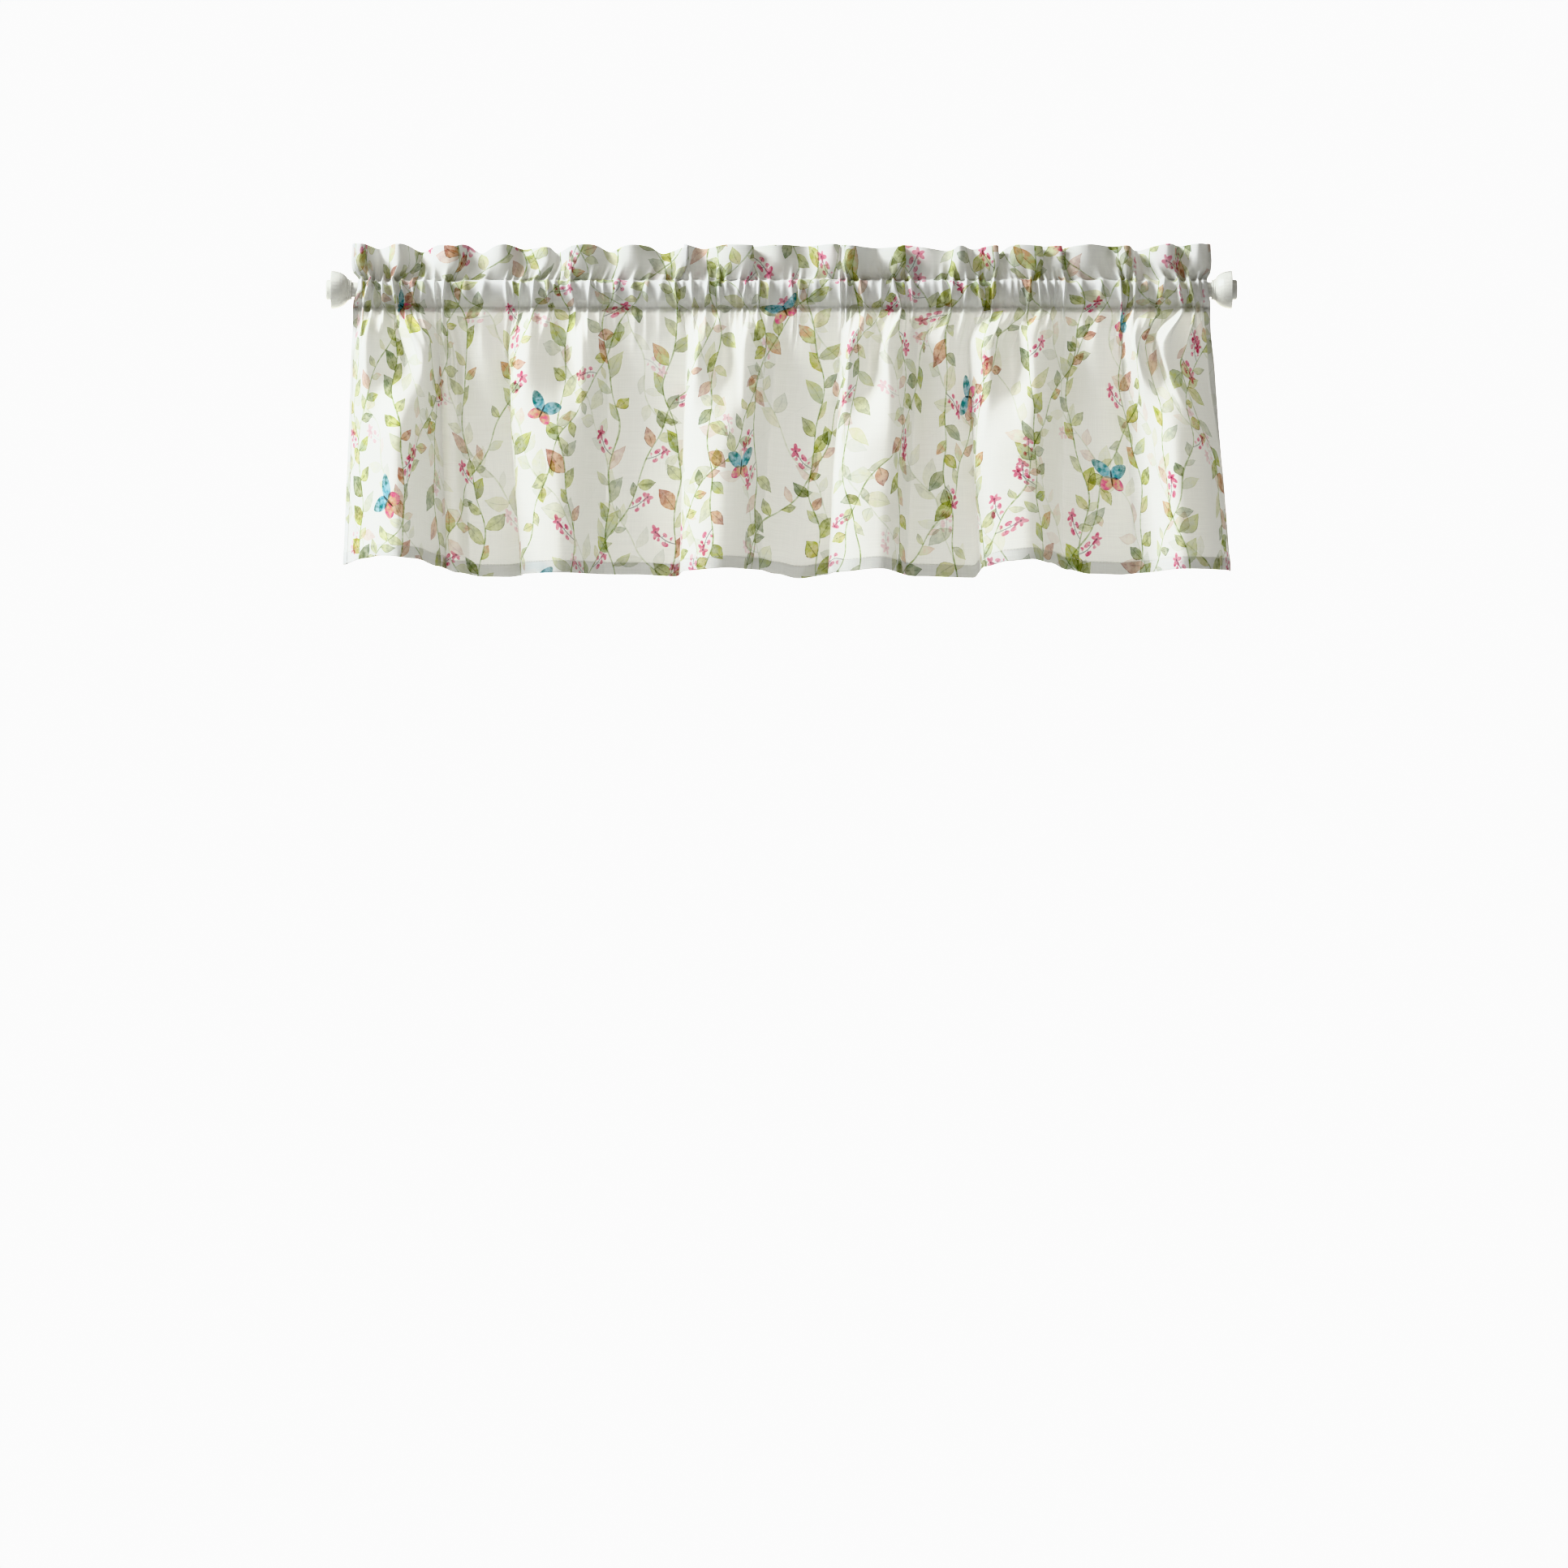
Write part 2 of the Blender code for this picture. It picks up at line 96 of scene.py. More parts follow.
# Line of the hem, millimetres: place along the window and lift above the lowest hem
HEM_LINE = (
    (-472, 14), (-447, 19.5), (-428, 21.5), (-391, 18.5), (-370, 11.7), (-348, 4.7), (-320, 0.6),
    (-294, 0.3), (-272, 2.9), (-248, 3.8), (-160, 2.9), (-114, 1.2), (-103, 6.4), (-55, 9),
    (-25, 8.2), (-7, 3.8), (18, -1.2), (51, 2.9), (58, 4.7), (105, 8.2), (146, 1.2), (207, -0.5),
    (218, 10.8), (243, 16), (269, 18.2), (288, 15.1), (309, 8.2), (332, 3.8), (365, 2.9),
    (388, 4.7), (430, 7.3), (484, 7.3),
)
PANEL_SET_BACK = 20.0  # how much nearer the wall the hem hangs than the pocket
PANEL_SWELL = 0.35  # depth of the smooth panels beside that of a fold
PANEL_HOLLOW = 8.0  # how far the panels hang back, down to a drop
PANEL_HOLLOW_TO = 0.9
FLAT_BELOW = 25.0  # depth below which the cloth counts as a panel
SPREAD_BY = 0.13  # drop at which the folds have their full depth
# The two upper ridges of a section run into one between these drops, sooner on one side
TWINS_MERGE_FROM = 0.12
TWINS_MERGE_BY = 0.55
TWINS_SLANT = 0.22
LATE_CREST = 0.52  # where the crest lies further right than this, sooner on the right
# Drop at which the gathers let go, how unevenly, and how much they flatten the folds there
OPENS_BY, OPENS_UNEVENLY = 0.17, 0.10
HELD_FLATTENS = 0.35
# Random waves along the cloth: length and seed, for the waver of the stitches size as well,
# and for the skirt's unevenness length along the cloth and down it, seed and size
OPENING_WAVES = ((31.0, 3.1), (9.5, 7.7))
WAVER_WAVES = ((45.0, 1.3, 1.0), (15.0, 2.9, 0.5))
SKIRT_WAVES = ((38.0, 120.0, 0.0, 1.0), (17.0, 70.0, 5.0, 0.5))

# Gathers along the rod, millimetres: where each stretch ends, the cloth it takes up, and
# its small ridges, each where it stands at the upper and at the lower stitch and how tall
# it is beside the others. Tight stretches alternate with smooth ones.
Stretch = namedtuple("Stretch", "end cloth ridges")
STRETCHES = (
    Stretch(-400, 150, ((-453, -457, 0.6), (-441, -449, 1.2), (-436, -440, 0.8), (-428, -427, 0.9),
                        (-417.5, -412, 1.3), (-408, -404.5, 0.7))),
    Stretch(-377, 32, ((-396, -393, 1.0), (-384, -388, 0.9))),
    Stretch(-351, 52, ((-373, -371, 0.7), (-361, -364, 1.4), (-355, -356, 0.4))),
    Stretch(-299, 54, ((-340, -337, 1.0), (-319, -322, 1.0))),
    Stretch(-186, 160, ((-296.5, -294, 1.1), (-288.5, -287, 0.9), (-279, -282, 1.2),
                        (-273, -275, 0.5), (-266, -268.5, 1.3), (-251.5, -249.5, 1.0),
                        (-243.5, -245, 0.9), (-236, -235, 0.4), (-227, -221, 1.4),
                        (-215, -214, 0.4), (-205, -208, 1.3), (-199.5, -195.5, 0.9),
                        (-191.5, -190, 0.8))),
    Stretch(-118, 74, ((-176, -178, 0.8), (-160, -157, 1.0), (-144, -146, 0.9), (-129, -132, 0.8))),
    Stretch(-3, 164, ((-114.5, -112, 1.3), (-106.5, -105, 0.7), (-97, -95, 1.3), (-88, -89, 0.4),
                      (-79, -82, 1.1), (-67, -66, 0.9), (-60.5, -55, 0.9), (-45, -49.5, 0.9),
                      (-38, -42, 1.2), (-33.5, -36, 0.7), (-29, -31, 0.7), (-24, -26, 1.2),
                      (-13, -15.5, 0.8))),
    Stretch(60, 70, ((2, 1, 0.5), (10, 13, 1.2), (20, 17.5, 1.0), (36, 38, 0.6), (51, 50, 0.5))),
    Stretch(146, 150, ((62, 63.5, 1.1), (70, 69, 1.2), (76, 75, 0.7), (84, 89.5, 1.0),
                       (96, 98, 0.4), (107.5, 106, 0.9), (113, 117, 0.5), (119, 128, 1.3),
                       (131.5, 134, 0.7), (138, 140.5, 1.2))),
    Stretch(178, 36, ((152, 156, 0.7), (163, 165, 0.5), (172, 175.5, 1.2))),
    Stretch(308, 214, ((184.5, 181, 1.2), (190.5, 188, 0.5), (198.5, 195, 1.1), (211, 216, 1.2),
                       (217.5, 221, 0.8), (228, 226, 1.3), (238, 237, 0.5), (246, 246, 0.6),
                       (253, 251, 0.7), (257.5, 255, 0.5), (262, 259, 0.5), (268, 263.5, 1.4),
                       (275.5, 278, 1.2), (284, 288.5, 1.2), (293, 293, 0.9), (298, 297.5, 0.5),
                       (304, 302, 1.4))),
    Stretch(360, 55, ((322, 324, 1.0), (344, 342, 1.0))),
    Stretch(384, 65, ((362.5, 364.5, 1.3), (369.5, 369.5, 0.8), (379.5, 377.5, 1.3))),
    Stretch(421, 50, ((391, 393, 0.6), (411, 405, 1.2))),
    Stretch(460.5, 96, ((424.5, 429.5, 1.3), (436, 443, 1.3), (447, 450.5, 0.8), (455, 456, 0.5))),
)
# How deep and how steep the ridges are, from their width and from how tall they are
RIDGE_GAIN = 1.5
TALLEST_RIDGE = 17.0
RIDGE_RISE = 0.24  # how much higher a ridge stands at the upper stitch, per depth
RIDGE_CONTRAST = 1.7
RIDGE_WIDTH_POWER = 0.6
RIDGE_SEED = 11
MOST_STEEP = 0.2
FOOT_HEIGHT, SHOULDER_HEIGHT = 0.14, 0.66
NEAR_REACH, NEAR_COLUMNS = 9.0, 8  # around a column, for the depth of its gathers
STITCH_FORWARD = 3.0  # how far the lower stitch stands out towards the room
SKIRT_START = 6.5  # and the skirt just below it, which eases back between two drops
SKIRT_START_BY = 0.014
SKIRT_START_FADES = (0.05, 0.4)
STITCH_WAVER = 1.6
LOW_WAVER = 0.4  # share of the waver that the lower stitch has
# Shares of the pocket's height, from the lower stitch up: where its ends are drawn in fully,
# where the waver of the lower stitch ends and where that of the upper stitch begins
POCKET_PULLED_AT = 0.8
LOW_WAVER_TO, HIGH_WAVER_FROM = 0.4, 0.5
# How the ends of the heading and the pocket are drawn in, and how far along the cloth
END_PULL = (6.0, 3.5)
END_REACH = 14.0

# Ruffle of the heading, millimetres: where it leaves the pocket, and where its top edge
# stands along the rod and out towards the room (negative leans to the wall).
Ruffle = namedtuple("Ruffle", "pocket_x top_x out")
RUFFLES = tuple(Ruffle(*row) for row in (
    (-460.5, -461, -4), (-446, -449, 9), (-430, -432, -17), (-412, -410, 6),
    (-390, -388, -22), (-366, -368, -10), (-352, -350, 15), (-338, -341, -8),
    (-322, -322, -26), (-300, -299, 8), (-280, -278, -19), (-258, -252, -15),
    (-240, -241, -24), (-222, -222, 12), (-204, -203, 10), (-184, -184, -24),
    (-162, -163, 10), (-146, -144, -14), (-126, -127, -26), (-106, -101, 14),
    (-96, -104, -6), (-84, -84, -18), (-62, -58, 9), (-36, -32, 12), (-26, -31, -14),
    (-4, -3, 10), (26, 28, -12), (52, 54, 6), (66, 64, -10), (76, 75, 16),
    (102, 102, -18), (128, 131, 15), (136, 130, -8), (152, 155, -17), (176, 180, -22),
    (190, 192, 14), (204, 206, -20), (226, 231, 12), (236, 233, -26), (250, 252, 10),
    (272, 279, 15), (282, 276, -14), (296, 300, 14), (304, 300, -20), (328, 329, 10),
    (354, 355, -14), (370, 372, 13), (384, 384, -20), (412, 414, 9), (430, 428, -12),
    (446, 447, 8), (460.5, 461, -6),
))
STEEPEST_LEAN = 0.8
# Shares of the heading's height at which it leaves the gathers and the pull of its ends
HEADING_FREED = (-0.15, 0.55)
PULL_FADES_BY = 0.25
SWING_POWER = 0.8
# Search for the swings that fit the cloth: rounds, and points looked at to each side
SWING_ROUNDS = 30
SWING_WINDOW = 2
LEAST_SWING, MOST_SWING = 0.3, 1.7

# Rows of the sheet: shares of the heading's height and of the skirt's drop, and the side
# view of the pocket's wall as reach from the rod's axis and height, millimetres.
HEADING_RISES = (0.05, 0.11, 0.19, 0.29, 0.41, 0.54, 0.67, 0.79, 0.89, 0.96, 1.0)
POCKET_SIDE = ((0.0, 11.3), (8.0, 8.6), (10.6, 2.0), (8.0, -9.0), (0.0, -19.5))
POCKET_STEPS = 3  # every third point of the side view's curve is a row
POCKET_FULL_AT = 6.0  # reach from which the wall stands clear of the stitches
TOP_DROPS = (0.008, 0.018, 0.03, 0.044, 0.06, 0.078, 0.097, 0.117)
SKIRT_ROWS = 34
HEM_SHARES = (0.9, 0.6, 0.3, 0.08, 0.0)
HEM_ROWS = 1 + len(HEM_SHARES)

# Colours of the print, linear
PRINT_COLORS = {
    "ground": ("Ground", (0.88, 0.88, 0.86)),
    "lime": ("Lime leaves", (0.51, 0.555, 0.05)),
    "olive": ("Olive leaves", (0.29, 0.335, 0.03)),
    "sage": ("Sage leaves and stems", (0.33, 0.43, 0.11)),
    "moss": ("Moss leaves", (0.17, 0.25, 0.065)),
    "peach": ("Peach leaves", (0.70, 0.36, 0.12)),
    "rust": ("Rust leaf tips", (0.50, 0.15, 0.05)),
    "yellow": ("Yellow leaves", (0.60, 0.55, 0.08)),
    "teal": ("Teal wing tips", (0.023, 0.262, 0.27)),
    "aqua": ("Aqua wings", (0.084, 0.456, 0.604)),
    "mist": ("Mist leaves", (0.24, 0.60, 0.52)),
    "pink": ("Pink buds", (0.85, 0.17, 0.34)),
    "rose": ("Rose buds", (0.74, 0.08, 0.22)),
    "ink": ("Fine dark lines", (0.019, 0.03, 0.025)),
}
# Leaf colours by random pick: from where on, colour at the base, colour at the tip
LEAF_COLORS = (
    (0.00, "lime", "olive"), (0.18, "olive", "moss"), (0.31, "yellow", "lime"),
    (0.43, "lime", "peach"), (0.51, "peach", "rust"), (0.59, "sage", "lime"),
    (0.70, "olive", "lime"), (0.80, "mist", "sage"), (0.88, "lime", "lime"),
)
# Vines, millimetres of print and radians: leafy is the share of joints with a leaf, strength
# is that of the wash
Vine = namedtuple("Vine", "seed turn pitch step sway length half_width lean leafy strength")
VINES = (
    Vine(2.0, 0.04, 71.0, 33.0, 6.5, 31.0, 7.4, 0.72, 0.78, 1.0),
    Vine(5.0, -0.52, 104.0, 25.0, 7.0, 23.0, 5.6, 0.80, 0.70, 0.9),
    Vine(7.0, 0.47, 83.0, 31.0, 8.0, 30.0, 7.4, 0.74, 0.76, 0.34),
)
DOWNWARD_SHARE = 0.3  # share of the stems that climb down
SLOW_WAVE, QUICK_WAVE, QUICK_SHARE = 0.031, 0.083, 0.35
STEM_WIDTH, STEM_SWELL = 0.75, 0.15
LEAF_START = 2.0
LEAF_BLUNTNESS = 1.12
LEAF_LEANS, LEAF_BENDS = 0.6, 0.9
# Sprigs, millimetres of print. The first two are shares of the joints past the leafy ones;
# buds sit on both sides of the twig's middle, and a blossom with uneven petals ends it.
SPRIG_GAP, SPRIG_SHARE = 0.02, 0.1
TWIG_WAVE, TWIG_SWAY = 0.16, 1.4
TWIG_STARTS, TWIG_ENDS = (-0.5, 0.5), (24.0, 23.0)
BUDS_START, BUDS_END = (5.0, 7.0), (21.0, 18.5)
BUD_PITCH, BUD_OFF = 9.6, 4.0
BUD_SIZE, BUD_SPREAD = 1.8, 1.7
BLOSSOM_AT, BLOSSOM_RADIUS = 25.0, 5.2
PETALS, PETAL_DEPTH, PETAL_UNEVENNESS = 5.0, 1.7, 1.1
# Painted edges, millimetres of print: where a wash begins and where it is full
LEAF_EDGE, STEM_EDGE, WING_EDGE = (-0.05, 0.45), (-0.25, 0.3), (-0.15, 0.4)
TWIG_EDGE, SIDE_TWIG_EDGE = (0.65, 0.2), (0.5, 0.15)
BUD_EDGE, BLOSSOM_EDGE, HEART_EDGE = (-0.2, 0.35), (-0.2, 0.4), (1.5, 0.8)
LEAF_RIM, WING_RIM = (1.4, 0.1), (0.9, 0.2)
# Butterflies, millimetres of print: size of their cells, most turn in radians, half width and
# half length of their bodies, and of each wing its place along the body, turn from it, length,
# half width and bluntness
BUTTERFLY_CELL = (270.0, 205.0)
BUTTERFLY_SEED = 4.4
BUTTERFLY_TURN = 2.4
BODY_SIZE = (1.2, 8.5)
WINGS = (("Fore", 1.5, 0.95, 25.0, 7.0, 0.55), ("Hind", -1.0, 2.15, 17.0, 6.5, 0.5))
PRINT_DRIFT = 34.0  # how far the vines stray from their even rows
# How much more the last of the vines shows where a second layer of the sheer cloth lies behind
SHOWN_BEHIND = 0.5
# How much paler the print is on the wrong side, and how much of the light comes through
WRONG_SIDE_PALER = 0.35
LIGHT_THROUGH = 0.32
# Seams, metres of cloth: sharpness of a layer's edge, half width and depth of a stitched line
LAYER_EDGE = 0.0005
SEAM_HALF_WIDTH, SEAM_CORE, SEAM_DEPTH = 0.0016, 0.0002, 1.2

# Stitches, metres
STITCH_PITCH = 0.0036
STITCH_LENGTH = 0.0025
STITCH_RADIUS = 0.00028
STITCH_PROUD = 0.0001
THREAD_DARK, THREAD_LIGHT = (0.66, 0.65, 0.60, 1.0), (0.80, 0.79, 0.74, 1.0)

# Brush marks per metre along the rod and round the finials, and how dark worn paint is
ROD_MARKS, FINIAL_MARKS, ROUND_MARKS = 30.0, 1400.0, 900.0
WORN_PAINT = 0.88
GLOSS_CHANGE = 0.14

# Colours of the lights, linear
COOL_LIGHT = (0.905, 0.945, 1.0)
WARM_LIGHT = (1.0, 0.98, 0.92)
WINDOW_LIGHT = (1.0, 0.985, 0.885)
NEUTRAL_LIGHT = (1.0, 1.0, 1.0)

# Lights, metres: each has its power among the stage's settings
Lamp = namedtuple("Lamp", "name place target size color")
LAMPS = (
    Lamp("key", (-3.5, -1.15, 2.9), (0.0, 0.0, -0.12), (1.4, 1.4), COOL_LIGHT),
    Lamp("top", (0.3, -1.5, 2.6), (0.0, 0.0, -0.12), (2.4, 1.0), WARM_LIGHT),
    Lamp("fill", (-2.2, -2.6, 0.6), (0.0, 0.0, -0.12), (1.6, 1.6), WARM_LIGHT),
    Lamp("back", (0.0, 1.7, -0.5), (0.0, 0.0, -0.2), (3.4, 2.0), WINDOW_LIGHT),
)

# Floor, metres: it ends a little behind the window
FLOOR_X = (-3.5, 3.5)
FLOOR_Y = (-4.5, 1.3)
FLOOR_Z = -1.6
FLOOR_ROUGHNESS = 0.9
FLOOR_GLOW = 0.36  # seen by the camera alone

# Camera, metres; the film's width is in millimetres
CAMERA_DISTANCE = 8.0
CAMERA_X, CAMERA_Z = 0.0026, -0.5308
PICTURE_WIDTH = 1.684
FILM_WIDTH = 36.0

# Steps of the curves, and the search for the depth that takes up the cloth
SPLINE_STEPS = 8
LENGTH_ROUNDS = 22
DEEPEST_FOLD = 400.0
SHORTEST_STEP = 1e-6


# ---------------------------------------------------------------- curves of the cloth

def blend(a, b, share):
    return a + (b - a) * share


def smooth(value, low, high):
    """0 where the value is at low, 1 where it is at high, smooth between."""
    share = min(max((value - low) / (high - low), 0.0), 1.0)
    return share * share * (3.0 - 2.0 * share)


def spline(points):
    """Points of a smooth curve through the given pairs."""
    padded = [points[0]] + list(points) + [points[-1]]
    curve = []
    for index in range(1, len(padded) - 2):
        before, here, there, after = padded[index - 1:index + 3]
        for step in range(SPLINE_STEPS):
            t = step / SPLINE_STEPS
            curve.append(tuple(
                0.5 * (2 * here[k] + (there[k] - before[k]) * t
                       + (2 * before[k] - 5 * here[k] + 4 * there[k] - after[k]) * t ** 2
                       + (3 * here[k] - before[k] - 3 * there[k] + after[k]) * t ** 3)
                for k in (0, 1)))
    curve.append(tuple(points[-1]))
    return curve


def running_lengths(curve, width, depth):
    """Length of the cloth from the curve's start to each of its points."""
    lengths = [0.0]
    for a, b in zip(curve, curve[1:]):
        lengths.append(lengths[-1] + math.hypot((b[0] - a[0]) * width, (b[1] - a[1]) * depth))
    return lengths


def depth_for_cloth(curve, width, cloth):
    """Depth that makes the curve take up all its cloth."""
    low, high = 0.0, DEEPEST_FOLD
    for _ in range(LENGTH_ROUNDS):
        middle = 0.5 * (low + high)
        if running_lengths(curve, width, middle)[-1] < cloth:
            low = middle
        else:
            high = middle
    return low


def walk(lengths, shares):
    """Step of the curve, and share of that step, at each of these shares of its length."""
    at = 0
    for share in shares:
        goal = share * lengths[-1]
        while at < len(lengths) - 2 and lengths[at + 1] < goal:
            at += 1
        span = max(lengths[at + 1] - lengths[at], SHORTEST_STEP)
        yield at, min(max((goal - lengths[at]) / span, 0.0), 1.0)


def hang(curve, width, cloth, shares):
    """Places (x, depth) of the cloth at these shares of its width along the curve."""
    depth = depth_for_cloth(curve, width, cloth)
    return [(blend(curve[at][0], curve[at + 1][0], part) * width,
             blend(curve[at][1], curve[at + 1][1], part) * depth)
            for at, part in walk(running_lengths(curve, width, depth), shares)]


def twin_curve(section):
    """Two narrow ridges with a hollow between them, below the pocket."""
    left, right = section.twins
    return spline(((0.0, 0.0), (0.45 * left, 0.5), (left, 1.0), (blend(left, right, 0.3), 0.55),
                   (blend(left, right, 0.55), 0.22), (blend(left, right, 0.8), 0.55),
                   (right, 0.95), (blend(right, 1.0, 0.6), 0.4), (1.0, 0.0)))


def merged_curve(section):
    """One broad ridge; a fold rises steeply on its left and falls gently on its right."""
    crest = section.crest
    if section.kind == "panel":
        return spline(((0.0, 0.0), (0.25, 0.7), (0.5, 1.0), (0.75, 0.7), (1.0, 0.0)))
    if section.kind == "left_edge":
        return spline(((0.0, 0.0), (0.5 * crest, 0.62), (crest, 1.0),
                       (blend(crest, 1.0, 0.5), 0.62), (1.0, 0.0)))
    if section.kind == "right_edge":
        return spline(((0.0, 0.0), (0.3 * crest, 0.26), (0.7 * crest, 0.82), (crest, 1.0),
                       (blend(crest, 1.0, 0.5), 0.78), (0.97, 0.2), (1.0, -0.12)))
    return spline(((0.0, 0.0), (-0.01, 0.30), (0.05, 0.62), (0.5 * crest, 0.9), (crest, 1.0),
                   (blend(crest, 1.0, 0.35), 0.8), (blend(crest, 1.0, 0.7), 0.33), (1.0, 0.0)))


def column_places():
    """Flat distance of every column from the cloth's left edge."""
    count = round(CUT_WIDTH / COLUMN_WIDTH)
    return [CUT_WIDTH * index / count for index in range(count + 1)]


def split_columns(columns, cloths):
    """Shares of each part's cloth at the columns that fall on it."""
    parts = []
    start = 0.0
    for number, cloth in enumerate(cloths):
        last = number == len(cloths) - 1
        parts.append([(u - start) / cloth for u in columns
                      if start <= u < start + cloth or (last and u >= start)])
        start += cloth
    return parts


def gathered_row(columns, at_top):
    """Places (x, depth) of the columns in the small gathers on the rod, at either stitch."""
    steepness = random.Random(RIDGE_SEED)
    row = []
    start = LEFT_POCKET_X
    parts = split_columns(columns, [stretch.cloth for stretch in STRETCHES])
    for stretch, shares in zip(STRETCHES, parts):
        width = stretch.end - start
        ridges = [top if at_top else bottom for top, bottom, _ in stretch.ridges]
        hollows = [start] + [0.5 * (a + b) for a, b in zip(ridges, ridges[1:])] + [stretch.end]
        points = [(0.0, 0.0)]
        for ridge, low, high, (_, _, tall) in zip(ridges, hollows, hollows[1:], stretch.ridges):
            height = (high - low) ** RIDGE_WIDTH_POWER / width * tall ** RIDGE_CONTRAST
            steep = steepness.uniform(0.0, MOST_STEEP)
            for near, share, part in (
                    (low, 0.40 + steep, FOOT_HEIGHT), (low, 0.70 + steep, SHOULDER_HEIGHT),
                    (ridge, 0.0, 1.0), (high, 0.88 - steep, SHOULDER_HEIGHT),
                    (high, 0.60 - steep, FOOT_HEIGHT), (high, 0.0, 0.0)):
                points.append(((blend(near, ridge, share) - start) / width, part * height))
        row.extend((start + x, TALLEST_RIDGE * math.tanh(RIDGE_GAIN * depth / TALLEST_RIDGE))
                   for x, depth in hang(spline(points), width, stretch.cloth, shares))
        start = stretch.end
    return row


def local_depth(row):
    """Depth of the gathers around every column, smoothed along the rod."""
    tallest = [max(depth for x, depth in row if abs(x - here) < NEAR_REACH) for here, _ in row]
    result = []
    for index in range(len(row)):
        near = tallest[max(index - NEAR_COLUMNS, 0):index + NEAR_COLUMNS + 1]
        result.append(sum(near) / len(near))
    return result


def loose_row(columns, drop):
    """Places (x, depth) of the columns in the broad folds at a share of the skirt's drop."""
    row = []
    pocket_x, hem_x = LEFT_POCKET_X, LEFT_HEM_X
    parts = split_columns(columns, [section.cloth for section in SECTIONS])
    for section, shares in zip(SECTIONS, parts):
        start = blend(pocket_x, hem_x, drop)
        width = blend(section.pocket_end, section.hem_end, drop) - start
        broad = hang(merged_curve(section), width, section.cloth, shares)
        narrow = broad
        if section.twins and drop < TWINS_MERGE_BY + TWINS_SLANT:
            narrow = hang(twin_curve(section), width, section.cloth, shares)
        slant = TWINS_SLANT * (1.0 if section.crest > LATE_CREST else -1.0)
        swell = PANEL_SWELL if section.kind == "panel" else 1.0
        for a, b, share in zip(broad, narrow, shares):
            merge = smooth(drop + slant * (share - 0.5), TWINS_MERGE_FROM, TWINS_MERGE_BY)
            row.append((start + blend(b[0], a[0], merge), blend(b[1], a[1], merge) * swell))
        pocket_x, hem_x = section.pocket_end, section.hem_end
    return row


def hem_lifts(columns):
    """Lift of the hem at every column, from the line that the hem follows along the window."""
    lifts = []
    for x, _ in loose_row(columns, 1.0):
        index = max(k for k in range(len(HEM_LINE) - 1) if k == 0 or HEM_LINE[k][0] <= x)
        (low_x, low), (high_x, high) = HEM_LINE[index:index + 2]
        lifts.append(blend(low, high, smooth(x, low_x, high_x)))
    return lifts


def ruffle_path(columns, gathers):
    """Path of the heading's top edge, swung out just as far as the cloth on it allows."""
    last = len(RUFFLES) - 1
    feet = []
    at = 0
    for ruffle in RUFFLES:
        while at < len(columns) - 1 and gathers[at][0] < ruffle.pocket_x:
            at += 1
        feet.append(columns[at])
    feet[0], feet[-1] = columns[0], columns[-1]
    swings = [1.0] * len(RUFFLES)
    for _ in range(SWING_ROUNDS):
        path = spline([(ruffle.top_x, ruffle.out * swing)
                       for ruffle, swing in zip(RUFFLES, swings)])
        lengths = running_lengths(path, 1.0, 1.0)
        for k in range(len(RUFFLES)):
            low, high = max(k - SWING_WINDOW, 0), min(k + SWING_WINDOW, last)
            run = lengths[high * SPLINE_STEPS] - lengths[low * SPLINE_STEPS]
            swing = swings[k] * math.sqrt((feet[high] - feet[low]) / run)
            swings[k] = min(max(swing, LEAST_SWING), MOST_SWING)
    return path, lengths


def ruffle_row(columns, gathers):
    """Places (x, depth, lean) of every column at the heading's top edge."""
    path, lengths = ruffle_path(columns, gathers)
    leans = spline([(ruffle.top_x, abs(ruffle.out)) for ruffle in RUFFLES])
    return [(blend(path[at][0], path[at + 1][0], part), blend(path[at][1], path[at + 1][1], part),
             blend(leans[at][1], leans[at + 1][1], part))
            for at, part in walk(lengths, [u / CUT_WIDTH for u in columns])]


# ---------------------------------------------------------------- rows of the sheet

def wander(u, length, seed):
    """Smooth random course along the cloth, with waves of about this length."""
    return noise.noise(Vector((u / length, seed, 0.0)))


